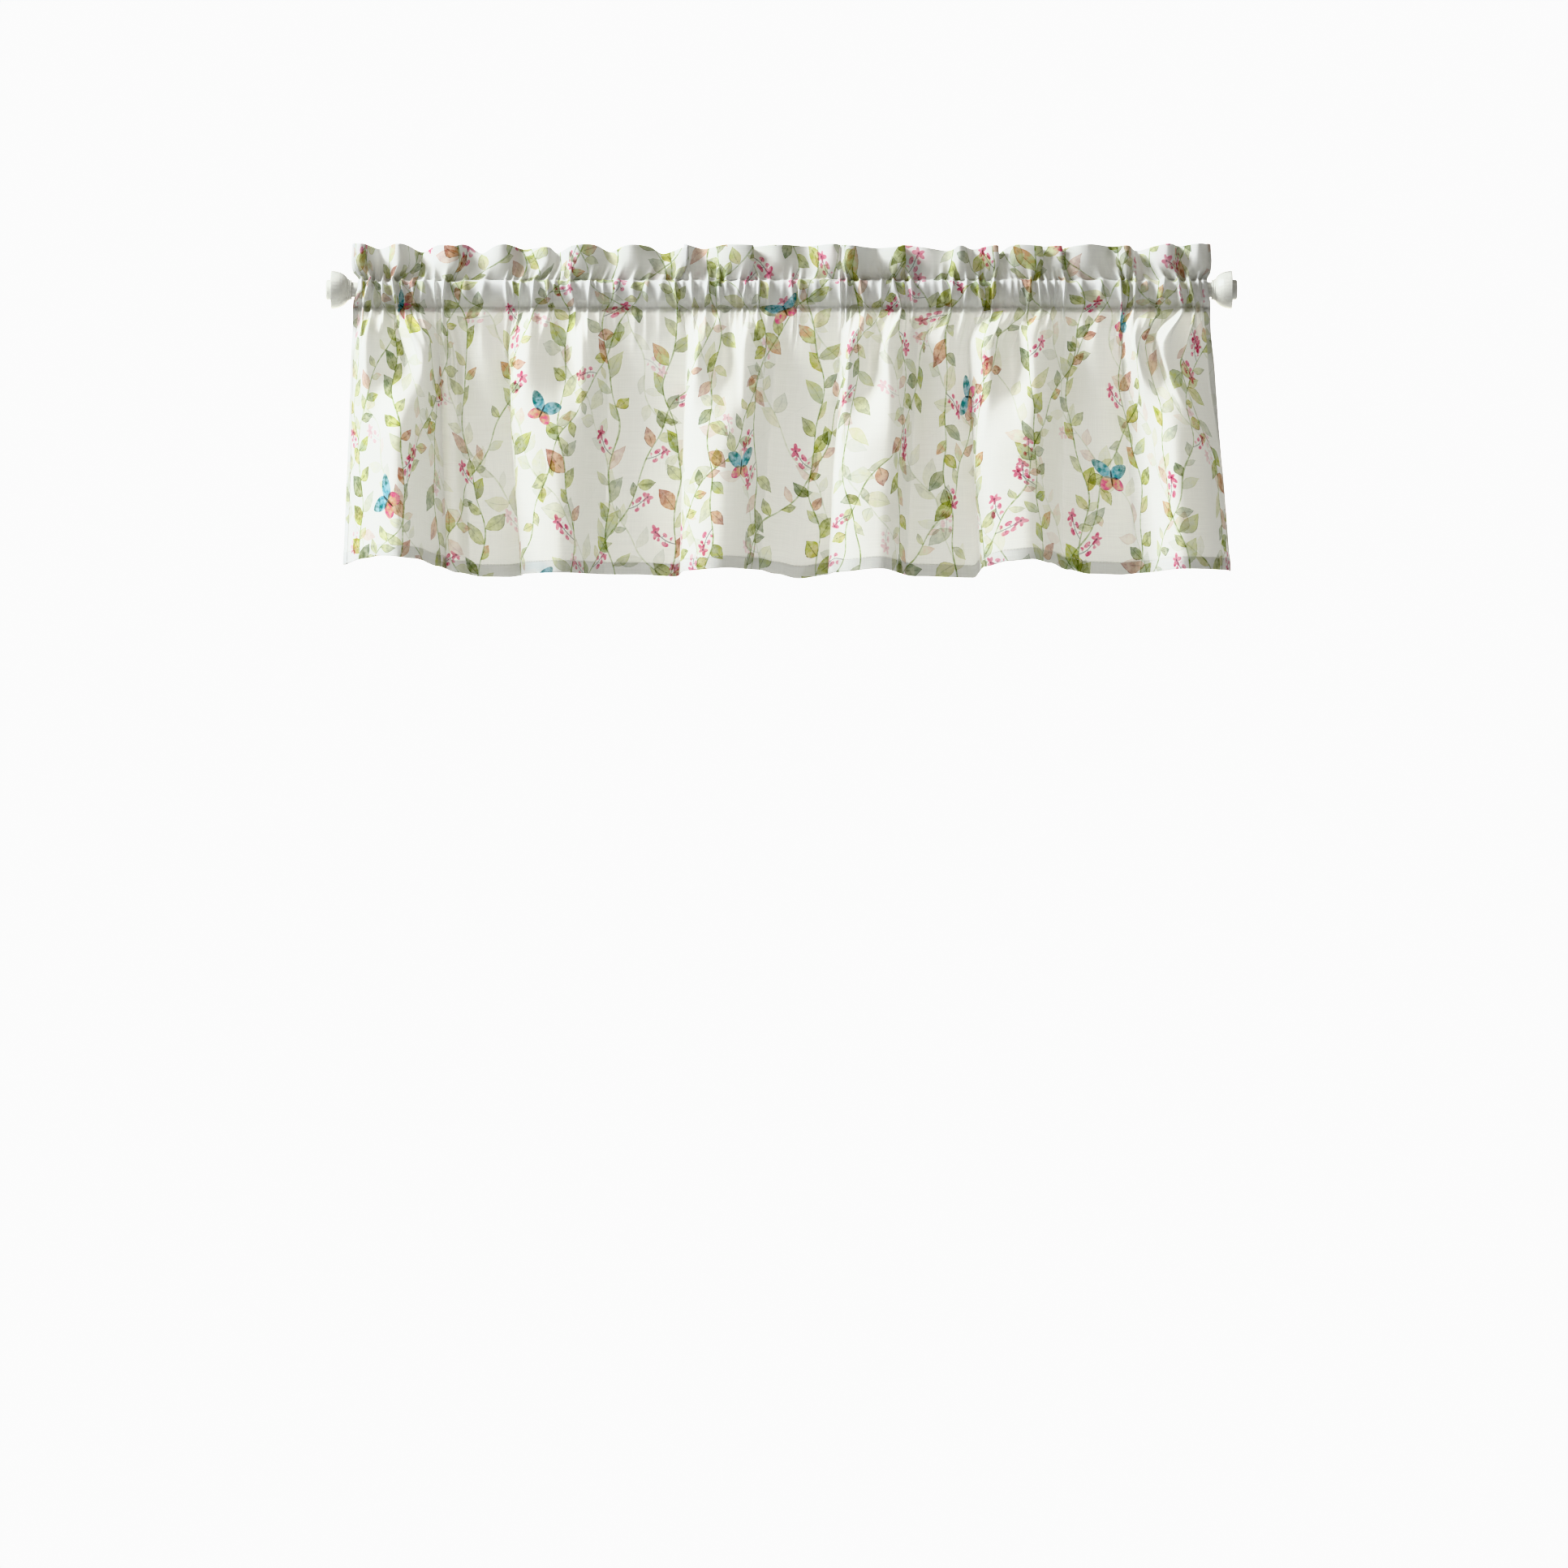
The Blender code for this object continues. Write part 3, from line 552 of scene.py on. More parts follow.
class Drape:
    """Middle surface of the hanging cloth, in millimetres, one row of columns at a time."""

    def __init__(self, sizes):
        self.columns = column_places()
        self.heading = sizes.heading_height / MM
        self.hem = sizes.hem_depth / MM
        self.unevenness = sizes.unevenness / MM
        self.top = gathered_row(self.columns, True)
        self.bottom = gathered_row(self.columns, False)
        self.top_depth = local_depth(self.top)
        self.bottom_depth = local_depth(self.bottom)
        self.ruffle = ruffle_row(self.columns, self.top)
        self.lifts = hem_lifts(self.columns)
        self.opening = [sum((OPENS_UNEVENLY * wander(u, *wave) for wave in OPENING_WAVES),
                            OPENS_BY) for u in self.columns]
        self.waver = [STITCH_WAVER * sum(size * wander(u, length, seed)
                                         for length, seed, size in WAVER_WAVES)
                      for u in self.columns]
        self.risen = [waver + RIDGE_RISE * (depth - 0.5 * near) for waver, (_, depth), near
                      in zip(self.waver, self.top, self.top_depth)]
        left, right = END_PULL
        self.pull = [left * math.exp(-(u / END_REACH) ** 2)
                     - right * math.exp(-((CUT_WIDTH - u) / END_REACH) ** 2) for u in self.columns]

    def heading_row(self, rise):
        """Heading at this share of its height."""
        points = []
        freed = smooth(rise, *HEADING_FREED)
        swung = rise ** SWING_POWER
        pulled = 1.0 - smooth(rise, 0.0, PULL_FADES_BY)
        for (foot_x, depth), near, (top_x, top_out, leaning), risen, pull in zip(
                self.top, self.top_depth, self.ruffle, self.risen, self.pull):
            lean = min(leaning / self.heading, STEEPEST_LEAN)
            height = self.heading * rise * math.sqrt(1.0 - (lean * rise) ** 2)
            out = (depth - 0.5 * near) * (1.0 - freed) + top_out * swung
            points.append(Vector((blend(foot_x, top_x, freed) + pull * pulled, -out,
                                  UPPER_STITCH_Z + height + risen * (1.0 - rise) ** 2)))
        return points

    def pocket_row(self, reach, z, side):
        """Pocket's wall at this height; side is 1 for the room side and -1 for the wall side."""
        up = (z - LOWER_STITCH_Z) / (UPPER_STITCH_Z - LOWER_STITCH_Z)
        full = smooth(reach, 0.0, POCKET_FULL_AT)
        pulled = smooth(up, 0.0, POCKET_PULLED_AT)
        at_top = smooth(up, HIGH_WAVER_FROM, 1.0)
        at_bottom = LOW_WAVER * smooth(up, LOW_WAVER_TO, 0.0)
        points = []
        for a, b, near_a, near_b, waver, risen, pull in zip(
                self.bottom, self.top, self.bottom_depth, self.top_depth, self.waver, self.risen,
                self.pull):
            x = blend(a[0], b[0], up) + pull * pulled
            depth, near = blend(a[1], b[1], up), blend(near_a, near_b, up)
            if side > 0:
                y = -(depth - 0.5 * near * (1.0 - full) + reach)
            else:
                y = reach + 0.5 * near * (1.0 + full) - depth
            y -= STITCH_FORWARD * (1.0 - up)
            points.append(Vector((x, y, z + risen * at_top + waver * at_bottom)))
        return points

    def skirt_row(self, drop):
        """Skirt at this share of its drop."""
        loose = loose_row(self.columns, drop)
        full = 1.0 - (1.0 - min(drop / SPREAD_BY, 1.0)) ** 2
        hollow = PANEL_HOLLOW * math.sin(math.pi * math.sqrt(min(drop / PANEL_HOLLOW_TO, 1.0)))
        start = blend(STITCH_FORWARD, SKIRT_START, smooth(drop, 0.0, SKIRT_START_BY))
        start *= 1.0 - smooth(drop, *SKIRT_START_FADES)
        points = []
        for (x, out), tight, near, opening, lift, u, waver in zip(
                loose, self.bottom, self.bottom_depth, self.opening, self.lifts, self.columns,
                self.waver):
            held = 1.0 - smooth(drop, 0.0, opening)
            z = blend(LOWER_STITCH_Z, HEM_Z + lift, drop) + LOW_WAVER * waver * held
            out -= hollow * (1.0 - smooth(out, 0.0, FLAT_BELOW))
            small = sum(size * noise.noise(Vector((u / along, z / down, seed)))
                        for along, down, seed, size in SKIRT_WAVES)
            out = out * full * (1.0 - HELD_FLATTENS * held) + (tight[1] - 0.5 * near) * held
            out += self.unevenness * small * full + start
            points.append(Vector((blend(x, tight[0], held), PANEL_SET_BACK * drop - out, z)))
        return points


def across(row, index):
    """Direction of the cloth along its row."""
    before = row[max(index - 1, 0)]
    after = row[min(index + 1, len(row) - 1)]
    return (after - before).normalized()


def offset_rows(rows, distances):
    """Rows moved out along the cloth's normals, each by its own distance."""
    moved = []
    for level, distance in enumerate(distances):
        above = rows[max(level - 1, 0)]
        below = rows[min(level + 1, len(rows) - 1)]
        row = []
        for index, point in enumerate(rows[level]):
            along = across(rows[level], index)
            normal = (below[index] - above[index]).cross(along).normalized()
            row.append(point + normal * distance)
        moved.append(row)
    return moved


def sheet_rows(drape):
    """Rows of the one sheet, from the hem's inner edge round to the pocket's last turn."""
    hem_share = drape.hem / (LOWER_STITCH_Z - HEM_Z)
    drops = list(TOP_DROPS)
    start = TOP_DROPS[-1]
    drops += [blend(start, 1.0 - hem_share, k / SKIRT_ROWS) for k in range(1, SKIRT_ROWS + 1)]
    drops += [1.0 - hem_share * share for share in HEM_SHARES]
    side = spline(POCKET_SIDE)[::POCKET_STEPS]
    walls = [(reach, z) for reach, z in side if reach > 0.0 and LOWER_STITCH_Z < z < UPPER_STITCH_Z]
    stitch_top = drape.pocket_row(0.0, UPPER_STITCH_Z, 1)
    stitch_low = drape.pocket_row(0.0, LOWER_STITCH_Z, 1)
    heading = [drape.heading_row(rise) for rise in reversed(HEADING_RISES)]
    front_wall = [drape.pocket_row(reach, z, 1) for reach, z in walls]
    back_wall = [drape.pocket_row(reach, z, -1) for reach, z in walls]
    skirt = [drape.skirt_row(drop) for drop in drops]
    front = heading + [stitch_top] + front_wall + [stitch_low] + skirt
    puffs = [LAYER_GAP + HEADING_PUFF * math.sin(math.pi * min(rise, 1.0)) ** 2
             for rise in reversed(HEADING_RISES)]
    in_hem = [LAYER_GAP * smooth(drop, 1.0 - hem_share - HEM_EASES_IN, 1.0 - hem_share)
              for drop in drops]
    near_stitch = [LAYER_GAP * (1.0 - smooth(drop, 0.0, LAYERS_PART_BY)) for drop in drops]
    gaps = puffs + [LAYER_GAP] + [0.0] * len(walls) + [LAYER_GAP]
    gaps += [max(a, b) for a, b in zip(in_hem, near_stitch)]
    front_rows = offset_rows(front, gaps)
    hem_rows = offset_rows(front, [-gap for gap in gaps])[-HEM_ROWS:]
    rear = heading + [stitch_top] + back_wall + [stitch_low] + [drape.skirt_row(LAST_TURN_DROP)]
    rear_gaps = [-gap for gap in puffs] + [-LAYER_GAP]
    rear_gaps += [0.0] * len(walls) + [-LAYER_GAP, -LAYER_GAP]
    rear_rows = offset_rows(rear, rear_gaps)
    fold = [point - Vector((0.0, 0.0, FOLD_ROUNDING)) for point in skirt[-1]]
    ridge = [point + Vector((0.0, 0.0, FOLD_ROUNDING)) for point in heading[0]]
    sheet = hem_rows + [fold] + front_rows[::-1] + [ridge] + rear_rows
    hem_line = len(hem_rows) + HEM_ROWS
    top_line = len(hem_rows) + len(front_rows) - len(heading)
    low_line = top_line - len(walls) - 1
    return sheet, (hem_line, low_line, top_line)


def flat_heights(rows):
    """Flat distance up the cloth of every row, from its mean step along the columns."""
    heights = [0.0]
    for row, after in zip(rows, rows[1:]):
        steps = [(b - a).length for a, b in zip(row, after)]
        heights.append(heights[-1] + sum(steps) / len(steps))
    return heights


def with_side_hems(rows, columns):
    """Rows and flat places with both side edges turned to the wall side."""
    turned = [SIDE_HEM * share / SIDE_HEM_COLUMNS for share in range(SIDE_HEM_COLUMNS, 0, -1)]
    picks = [min(range(len(columns)), key=lambda k: abs(columns[k] - inset)) for inset in turned]
    last = len(columns) - 1
    behind = offset_rows(rows, [-SIDE_HEM_GAP] * len(rows))
    left_flat = [-columns[k] for k in picks]
    right_flat = [2.0 * CUT_WIDTH - columns[last - k] for k in reversed(picks)]
    result = []
    for row, back in zip(rows, behind):
        left = [back[k] for k in picks]
        right = [back[last - k] for k in reversed(picks)]
        result.append(left + row + right)
    return result, left_flat + columns + right_flat


def cloth_mesh(rows, places, heights):
    """The sheet as a grid laid in its hanging rows, with its flat size as the UV map."""
    bm = bmesh.new()
    across_count, up_count = len(places) - 1, len(rows) - 1
    bmesh.ops.create_grid(bm, x_segments=across_count, y_segments=up_count, size=0.5)
    uv = bm.loops.layers.uv.new("flat_cloth")
    row_of = bm.verts.layers.int.new("cloth_row")
    spots = {}
    for vert in bm.verts:
        column = round((vert.co.x + 0.5) * across_count)
        level = round((vert.co.y + 0.5) * up_count)
        spots[vert] = (places[column] * MM, heights[level] * MM)
        vert[row_of] = level
        vert.co = rows[level][column] * MM
    for face in bm.faces:
        face.smooth = True
        for loop in face.loops:
            loop[uv].uv = spots[loop.vert]
    return bm


# ---------------------------------------------------------------- node building

def operation(name, swapped=False):
    """Method that joins a flow and other values by this operation of the Math node."""
    def join(self, *others):
        values = (*others, self) if swapped else (self, *others)
        return self.board.math(name, *values)
    return join


class Flow:
    """A number, vector or colour on its way through a node tree."""

    def __init__(self, board, socket):
        self.board = board
        self.socket = socket

    __add__ = __radd__ = operation("ADD")
    __sub__ = operation("SUBTRACT")
    __rsub__ = operation("SUBTRACT", swapped=True)
    __mul__ = __rmul__ = operation("MULTIPLY")
    __truediv__ = operation("DIVIDE")
    __pow__ = operation("POWER")
    __gt__ = operation("GREATER_THAN")
    __lt__ = operation("LESS_THAN")
    __abs__ = operation("ABSOLUTE")
    __floor__ = operation("FLOOR")
    sine = operation("SINE")
    cosine = operation("COSINE")
    root = operation("SQRT")
    sign = operation("SIGN")
    fraction = operation("FRACT")
    or_more = operation("MAXIMUM")
    or_less = operation("MINIMUM")


class Board:
    """Adds linked nodes to one node tree."""

    def __init__(self, tree):
        self.tree = tree

    def add(self, kind, inputs=(), **settings):
        node = self.tree.nodes.new(kind)
        for name, value in settings.items():
            setattr(node, name, value)
        for key, value in dict(inputs).items():
            self.feed(node.inputs[key], value)
        return node

    def feed(self, socket, value):
        if isinstance(value, Flow):
            self.tree.links.new(value.socket, socket)
        else:
            socket.default_value = value

    def out(self, node, key=0):
        return Flow(self, node.outputs[key])

    def math(self, operation, *values):
        return self.out(self.add("ShaderNodeMath", enumerate(values), operation=operation))

    def fade(self, value, low, high):
        """0 where the value is at low, 1 where it is at high, smooth between."""
        node = self.add("ShaderNodeMapRange", {"Value": value, "From Min": low, "From Max": high},
                        interpolation_type="SMOOTHSTEP")
        return self.out(node, "Result")

    def mix(self, factor, a, b, mode="MIX"):
        node = self.add("ShaderNodeMix", {0: factor, 6: a, 7: b}, data_type="RGBA", blend_type=mode)
        return self.out(node, 2)

    def wash(self, amount, below, color):
        """Colour laid over the one below as watercolour."""
        return self.mix(amount, below, color, "MULTIPLY")

    def vector(self, x, y, z=0.0):
        return self.out(self.add("ShaderNodeCombineXYZ", enumerate((x, y, z))))

    def split(self, vector):
        node = self.add("ShaderNodeSeparateXYZ", {0: vector})
        return [self.out(node, k) for k in range(3)]

    def draws(self, x, y, z):
        """Four random numbers that stay the same for the same three numbers."""
        node = self.add("ShaderNodeTexWhiteNoise", {"Vector": self.vector(x, y, z)},
                        noise_dimensions="3D")
        return [self.out(node, "Value")] + self.split(self.out(node, "Color"))

    def noise(self, vector, scale, detail=2.0, roughness=0.5, key="Fac"):
        node = self.add("ShaderNodeTexNoise", {"Vector": vector, "Scale": scale, "Detail": detail,
                                               "Roughness": roughness}, noise_dimensions="3D")
        return self.out(node, key)

    def steps(self, value, colors):
        """One of these colours, chosen by the value; each holds from its own position on."""
        node = self.add("ShaderNodeValToRGB", {"Fac": value})
        node.color_ramp.interpolation = "CONSTANT"
        elements = node.color_ramp.elements
        for position, _ in colors[2:]:
            elements.new(position)
        for element, (position, color) in zip(elements, colors):
            element.position = position
            element.color = color
        return self.out(node, "Color")

    def bump(self, height, strength, distance):
        node = self.add("ShaderNodeBump", {
            "Strength": strength, "Distance": distance, "Height": height})
        return self.out(node, "Normal")

    def surface(self, shader, kind="Material"):
        """Makes this shader the surface of the material, or of the world."""
        self.add("ShaderNodeOutput" + kind, {"Surface": shader})

    def group(self, tree, inputs):
        node = self.add("ShaderNodeGroup", node_tree=tree)
        for key, value in inputs.items():
            self.feed(node.inputs[key], value)
        return {socket.name: Flow(self, socket) for socket in node.outputs}


def new_group(name, inputs, outputs):
    """Empty shader node group with float sockets unless a socket is named with its kind."""
    tree = bpy.data.node_groups.new(name, "ShaderNodeTree")
    board = Board(tree)
    for direction, names in (("INPUT", inputs), ("OUTPUT", outputs)):
        for entry in names:
            label, _, kind = entry.partition(":")
            tree.interface.new_socket(label, in_out=direction,
                                      socket_type="NodeSocket" + (kind or "Float"))
    source = board.add("NodeGroupInput")
    board.given = {socket.name: Flow(board, socket) for socket in source.outputs if socket.name}
    return board


def close_group(board, results):
    """Links the group's results to its output node."""
    board.add("NodeGroupOutput", results)
    return board.tree


# ---------------------------------------------------------------- printed pattern

def leaf_group():
    """Leaf or petal: how far inside its edge a point lies, and its place along and across."""
    board = new_group(
        "leaf_shape", ("Along", "Across", "Length", "Half Width", "Bend", "Bluntness"),
        ("Inset", "Share", "Off"))
    g = board.given
    share = (g["Along"] / g["Length"]).or_more(0.0).or_less(1.0)
    off = g["Across"] - share * (1.0 - share) * g["Length"] * g["Bend"]
    swell = (share ** 0.85 * math.pi).sine()
    half = swell.or_more(0.0) ** g["Bluntness"] * g["Half Width"]
    inset = half - abs(off)
    return close_group(board, {"Inset": inset, "Share": share, "Off": off})


def sprig_group():
    """Thin twig with buds on both sides and an open blossom at its end."""
    board = new_group("sprig_shape", ("Along", "Across", "Draw"), ("Twig", "Bud", "Heart"))
    g = board.given
    off = g["Across"] - (g["Along"] * TWIG_WAVE).sine() * TWIG_SWAY
    right = off > 0.0
    run = g["Along"] / BUD_PITCH + right * 0.5
    slot = math.floor(run)
    a = (run - slot - 0.5) * BUD_PITCH
    b = abs(off) - BUD_OFF
    first, second, _, _ = board.draws(slot, right, g["Draw"])
    size = first * BUD_SPREAD + BUD_SIZE
    gap = (a * a * 0.55 + b * b * (second * 1.2 + 0.9)).root()
    within = board.fade(g["Along"], *BUDS_START) * board.fade(g["Along"], *BUDS_END)
    bud = board.fade(size - gap, *BUD_EDGE) * within
    tip = g["Along"] - BLOSSOM_AT
    from_tip = (tip * tip + off * off).root()
    around = board.math("ARCTAN2", tip, off)
    petals = (around * PETALS + g["Draw"] * 9.0).cosine() * PETAL_DEPTH
    uneven = (around * 2.0 + g["Draw"] * 31.0).cosine() * PETAL_UNEVENNESS
    blossom = board.fade(petals + uneven + BLOSSOM_RADIUS - from_tip, *BLOSSOM_EDGE)
    heart = board.fade(from_tip, *HEART_EDGE)
    twig = board.fade(abs(off), *TWIG_EDGE)
    side_twig = board.fade(abs(a + b * 0.5), *SIDE_TWIG_EDGE) * board.fade(b, 0.0, -0.5)
    reach = board.fade(g["Along"], *TWIG_ENDS) * board.fade(g["Along"], *TWIG_STARTS)
    twig = twig.or_more(side_twig * within) * reach
    return close_group(board, {"Twig": twig, "Bud": bud.or_more(blossom), "Heart": heart})


def vine_group(leaf, sprig):
    """Swaying stems side by side, with a leaf, a sprig or nothing at each of their joints."""
    board = new_group(
        "climbing_vine",
        ("U", "V", "Pitch", "Step", "Sway", "Length", "Half Width", "Lean", "Leafy", "Seed"),
        ("Inset", "Share", "Off", "Pick", "Tone", "Drift", "Stem", "Twig", "Bud", "Heart"))
    g = board.given
    column = math.floor(g["U"] / g["Pitch"])
    x = g["U"] - (column + 0.5) * g["Pitch"]
    first, second, _, _ = board.draws(column, g["Seed"], 1.7)
    turn = (second - DOWNWARD_SHARE).sign()

    def sway(v):
        slow = (v * SLOW_WAVE + first * 6.28).sine()
        quick = (v * QUICK_WAVE + first * 17.0).sine()
        return (slow + quick * QUICK_SHARE) * g["Sway"]

    from_stem = x - sway(g["V"])
    right = from_stem > 0.0
    side = right * 2.0 - 1.0
    run = g["V"] * turn / g["Step"] + first * 3.0 + right * 0.5
    slot = math.floor(run)
    up = (run - slot) * g["Step"] - LEAF_START
    joint_v = ((slot - first * 3.0 - right * 0.5) * g["Step"] + LEAF_START) * turn
    reach = (x - sway(joint_v)) * side
    kind, pick, tone, drift = board.draws(column + g["Seed"], slot, side)
    angle = g["Lean"] + (drift - 0.5) * LEAF_LEANS
    sine, cosine = angle.sine(), angle.cosine()
    along = reach * sine + up * cosine
    across = reach * cosine - up * sine
    size = board.draws(slot, column, side)[0]
    shape = board.group(leaf, {
        "Along": along, "Across": across, "Length": g["Length"] * (size * 0.5 + 0.6),
        "Half Width": g["Half Width"] * (tone * 0.4 + 0.8) * (size * 0.45 + 0.7),
        "Bend": (drift - 0.5) * LEAF_BENDS, "Bluntness": LEAF_BLUNTNESS})
    has_leaf = kind < g["Leafy"]
    has_sprig = (g["Leafy"] + SPRIG_GAP < kind) * (kind < g["Leafy"] + SPRIG_SHARE)
    bits = board.group(sprig, {"Along": along, "Across": across, "Draw": pick})
    stem_width = (g["V"] * 0.11 + first * 9.0).sine() * STEM_SWELL + STEM_WIDTH
    stem = board.fade(stem_width - abs(from_stem), *STEM_EDGE)
    return close_group(board, {
        "Inset": shape["Inset"] * has_leaf + (has_leaf - 1.0) * 9.0, "Share": shape["Share"],
        "Off": shape["Off"], "Pick": pick, "Tone": tone, "Drift": drift, "Stem": stem,
        "Twig": bits["Twig"] * has_sprig, "Bud": bits["Bud"] * has_sprig,
        "Heart": bits["Heart"] * has_sprig})


def butterfly_group(leaf):
    """Butterflies scattered in half-drop cells, each turned its own way."""
    board = new_group("butterfly_shape", ("U", "V", "Wide", "High"),
                      ("Fore", "Fore Share", "Hind", "Hind Share", "Body"))
    g = board.given
    column = math.floor(g["U"] / g["Wide"])
    odd = (column * 0.5).fraction() * 2.0
    v = g["V"] + odd * g["High"] * 0.5
    row = math.floor(v / g["High"])
    _, shift_u, shift_v, turn = board.draws(column, row, BUTTERFLY_SEED)
    x = g["U"] - (column + shift_u * 0.4 + 0.3) * g["Wide"]
    y = v - (row + shift_v * 0.3 + 0.35) * g["High"]
    angle = (turn - 0.5) * BUTTERFLY_TURN
    sine, cosine = angle.sine(), angle.cosine()
    bx = x * cosine + y * sine
    by = y * cosine - x * sine
    wing = abs(bx)
    results = {}
    for name, lift, tilt, length, half, blunt in WINGS:
        rise = by - lift
        shape = board.group(leaf, {
            "Along": wing * math.sin(tilt) + rise * math.cos(tilt),
            "Across": wing * math.cos(tilt) - rise * math.sin(tilt),
            "Length": length, "Half Width": half, "Bend": 0.0, "Bluntness": blunt})
        results[name] = shape["Inset"]
        results[name + " Share"] = shape["Share"]
    body_x, body_y = bx / BODY_SIZE[0], by / BODY_SIZE[1]
    results["Body"] = board.fade((body_x * body_x + body_y * body_y).root(), 1.15, 0.85)
    return close_group(board, results)


def paint_leaves(board, below, vine, colors, pool, strength):
    """Washes the leaves of one vine over the colours below them."""
    off, share = vine["Off"], vine["Share"]
    inset = vine["Inset"] + (pool - 0.5) * 0.7 * board.fade(share * (1.0 - share), 0.01, 0.1)
    base = board.steps(vine["Pick"], [(place, colors[name]) for place, name, _ in LEAF_COLORS])
    tip = board.steps(vine["Pick"], [(place, colors[name]) for place, _, name in LEAF_COLORS])
    pigment = board.mix(board.fade(share + (pool - 0.5) * 0.5, 0.25, 0.85), base, tip)
    mask = board.fade(inset, *LEAF_EDGE)
    rim = board.fade(inset, *LEAF_RIM)
    cover = (vine["Tone"] * 0.52 + 0.3) * (pool * 0.4 + 0.72) + rim * 0.2
    cover = (cover * mask * strength).or_less(1.0)
    shown = board.wash(cover, below, pigment)
    rib = board.fade(abs(off), 0.5, 0.15) * board.fade(share, 0.95, 0.7)
    edge = board.fade(abs(inset - 0.25), 0.55, 0.15)
    drawn = (vine["Drift"] > 0.35) * board.fade(off, -1.2, 0.6)
    ink = (rib * 0.6).or_more(edge * drawn) * board.fade(pool, 0.15, 0.5)
    return board.wash(ink * mask * vine["Tone"] * strength, shown, colors["ink"])


def paint_sprigs(board, below, vine, colors, pool, strength):
    """Stems, twigs, buds and blossoms of one vine."""
    sage, ink = colors["sage"], colors["ink"]
    shown = board.wash(vine["Stem"] * (pool * 0.6 + 0.35) * strength, below, sage)
    shown = board.wash(vine["Twig"] * 0.6 * strength, shown, ink)
    petal = board.mix(pool, colors["pink"], colors["rose"])
    shown = board.wash(vine["Bud"] * (pool * 0.4 + 0.55) * strength, shown, petal)
    return board.wash(vine["Heart"] * 0.6 * strength, shown, ink)


def paint_butterflies(board, below, shapes, colors, pool, ground):
    """Butterflies laid over the vines, with the ground showing through their washes."""
    fore, hind, body = shapes["Fore"], shapes["Hind"], shapes["Body"]
    fore_mask, hind_mask = board.fade(fore, *WING_EDGE), board.fade(hind, *WING_EDGE)
    whole = fore_mask.or_more(hind_mask).or_more(body)
    cleared = board.mix(whole, below, ground)
    toward_tip = board.fade(shapes["Fore Share"] + (pool - 0.5) * 0.8, 0.35, 0.9)
    aqua = board.mix(toward_tip, colors["aqua"], colors["teal"])
    toward_tip = board.fade(shapes["Hind Share"] + (pool - 0.5) * 1.2, 0.2, 0.95)
    pink = board.mix(toward_tip, colors["peach"], colors["pink"])
    shown = board.wash(hind_mask * (pool * 0.5 + 0.55), cleared, pink)
    shown = board.wash(fore_mask * (pool * 0.5 + 0.5), shown, aqua)
    fore_rim = board.fade(fore, *WING_RIM) * fore_mask
    rim = fore_rim.or_more(board.fade(hind, *WING_RIM) * hind_mask)
    ink = (rim * board.fade(pool, 0.35, 0.7) * 0.45).or_more(body * 0.8)
    return board.wash(ink, shown, colors["ink"])


def print_group(colors):
    """Printed pattern of leafy vines, sprigs and butterflies on the flat cloth."""
    leaf = leaf_group()
    vine = vine_group(leaf, sprig_group())
    butterfly = butterfly_group(leaf)
    board = new_group("leafy_print", ("Place:Vector", "Scale", "Ground:Color", "Behind"),
                      ("Color:Color",))
    g = board.given
    drift = board.noise(g["Place"], scale=8.0, detail=1.0, key="Color")
    du, dv, _ = board.split(drift)
    u, v, _ = board.split(g["Place"])
    cloudy = board.noise(g["Place"], scale=150.0, detail=3.0, roughness=0.6)
    pool = board.fade(cloudy, 0.3, 0.7)
    u = u * 1000.0 / g["Scale"] + (du - 0.5) * PRINT_DRIFT
    v = v * 1000.0 / g["Scale"] + (dv - 0.5) * PRINT_DRIFT
    shown = g["Ground"]
    for plant in VINES:
        strength = plant.strength
        if plant is VINES[-1]:
            strength = g["Behind"] * SHOWN_BEHIND + strength
        turned_u = u * math.cos(plant.turn) + v * math.sin(plant.turn)
        turned_v = v * math.cos(plant.turn) - u * math.sin(plant.turn)
        parts = board.group(vine, {
            "U": turned_u, "V": turned_v, "Pitch": plant.pitch, "Step": plant.step,
            "Sway": plant.sway, "Length": plant.length, "Half Width": plant.half_width,
            "Lean": plant.lean, "Leafy": plant.leafy, "Seed": plant.seed})
        shown = paint_sprigs(board, shown, parts, colors, pool, strength)
        shown = paint_leaves(board, shown, parts, colors, pool, strength)
    wide, high = BUTTERFLY_CELL
    shapes = board.group(butterfly, {"U": u, "V": v, "Wide": wide, "High": high})
    shown = paint_butterflies(board, shown, shapes, colors, pool, g["Ground"])
    return close_group(board, {"Color": shown})


def weave_group():
    """Plain weave with slubs: a shade of the yarns and their height."""
    board = new_group("slub_weave", ("Place:Vector", "Yarn"), ("Shade", "Height"))
    g = board.given
    u, v, _ = board.split(g["Place"])
    weft = board.noise(board.vector(u * 22.0, v * 1500.0), scale=1.0, detail=1.0)
    warp = board.noise(board.vector(u * 1500.0, v * 26.0), scale=1.0, detail=1.0)
    over = (u / g["Yarn"] * math.pi).sine() * (v / g["Yarn"] * math.pi).sine()
    slub = weft * 0.55 + warp * 0.45
    return close_group(board, {"Shade": slub, "Height": slub + over * 0.25})


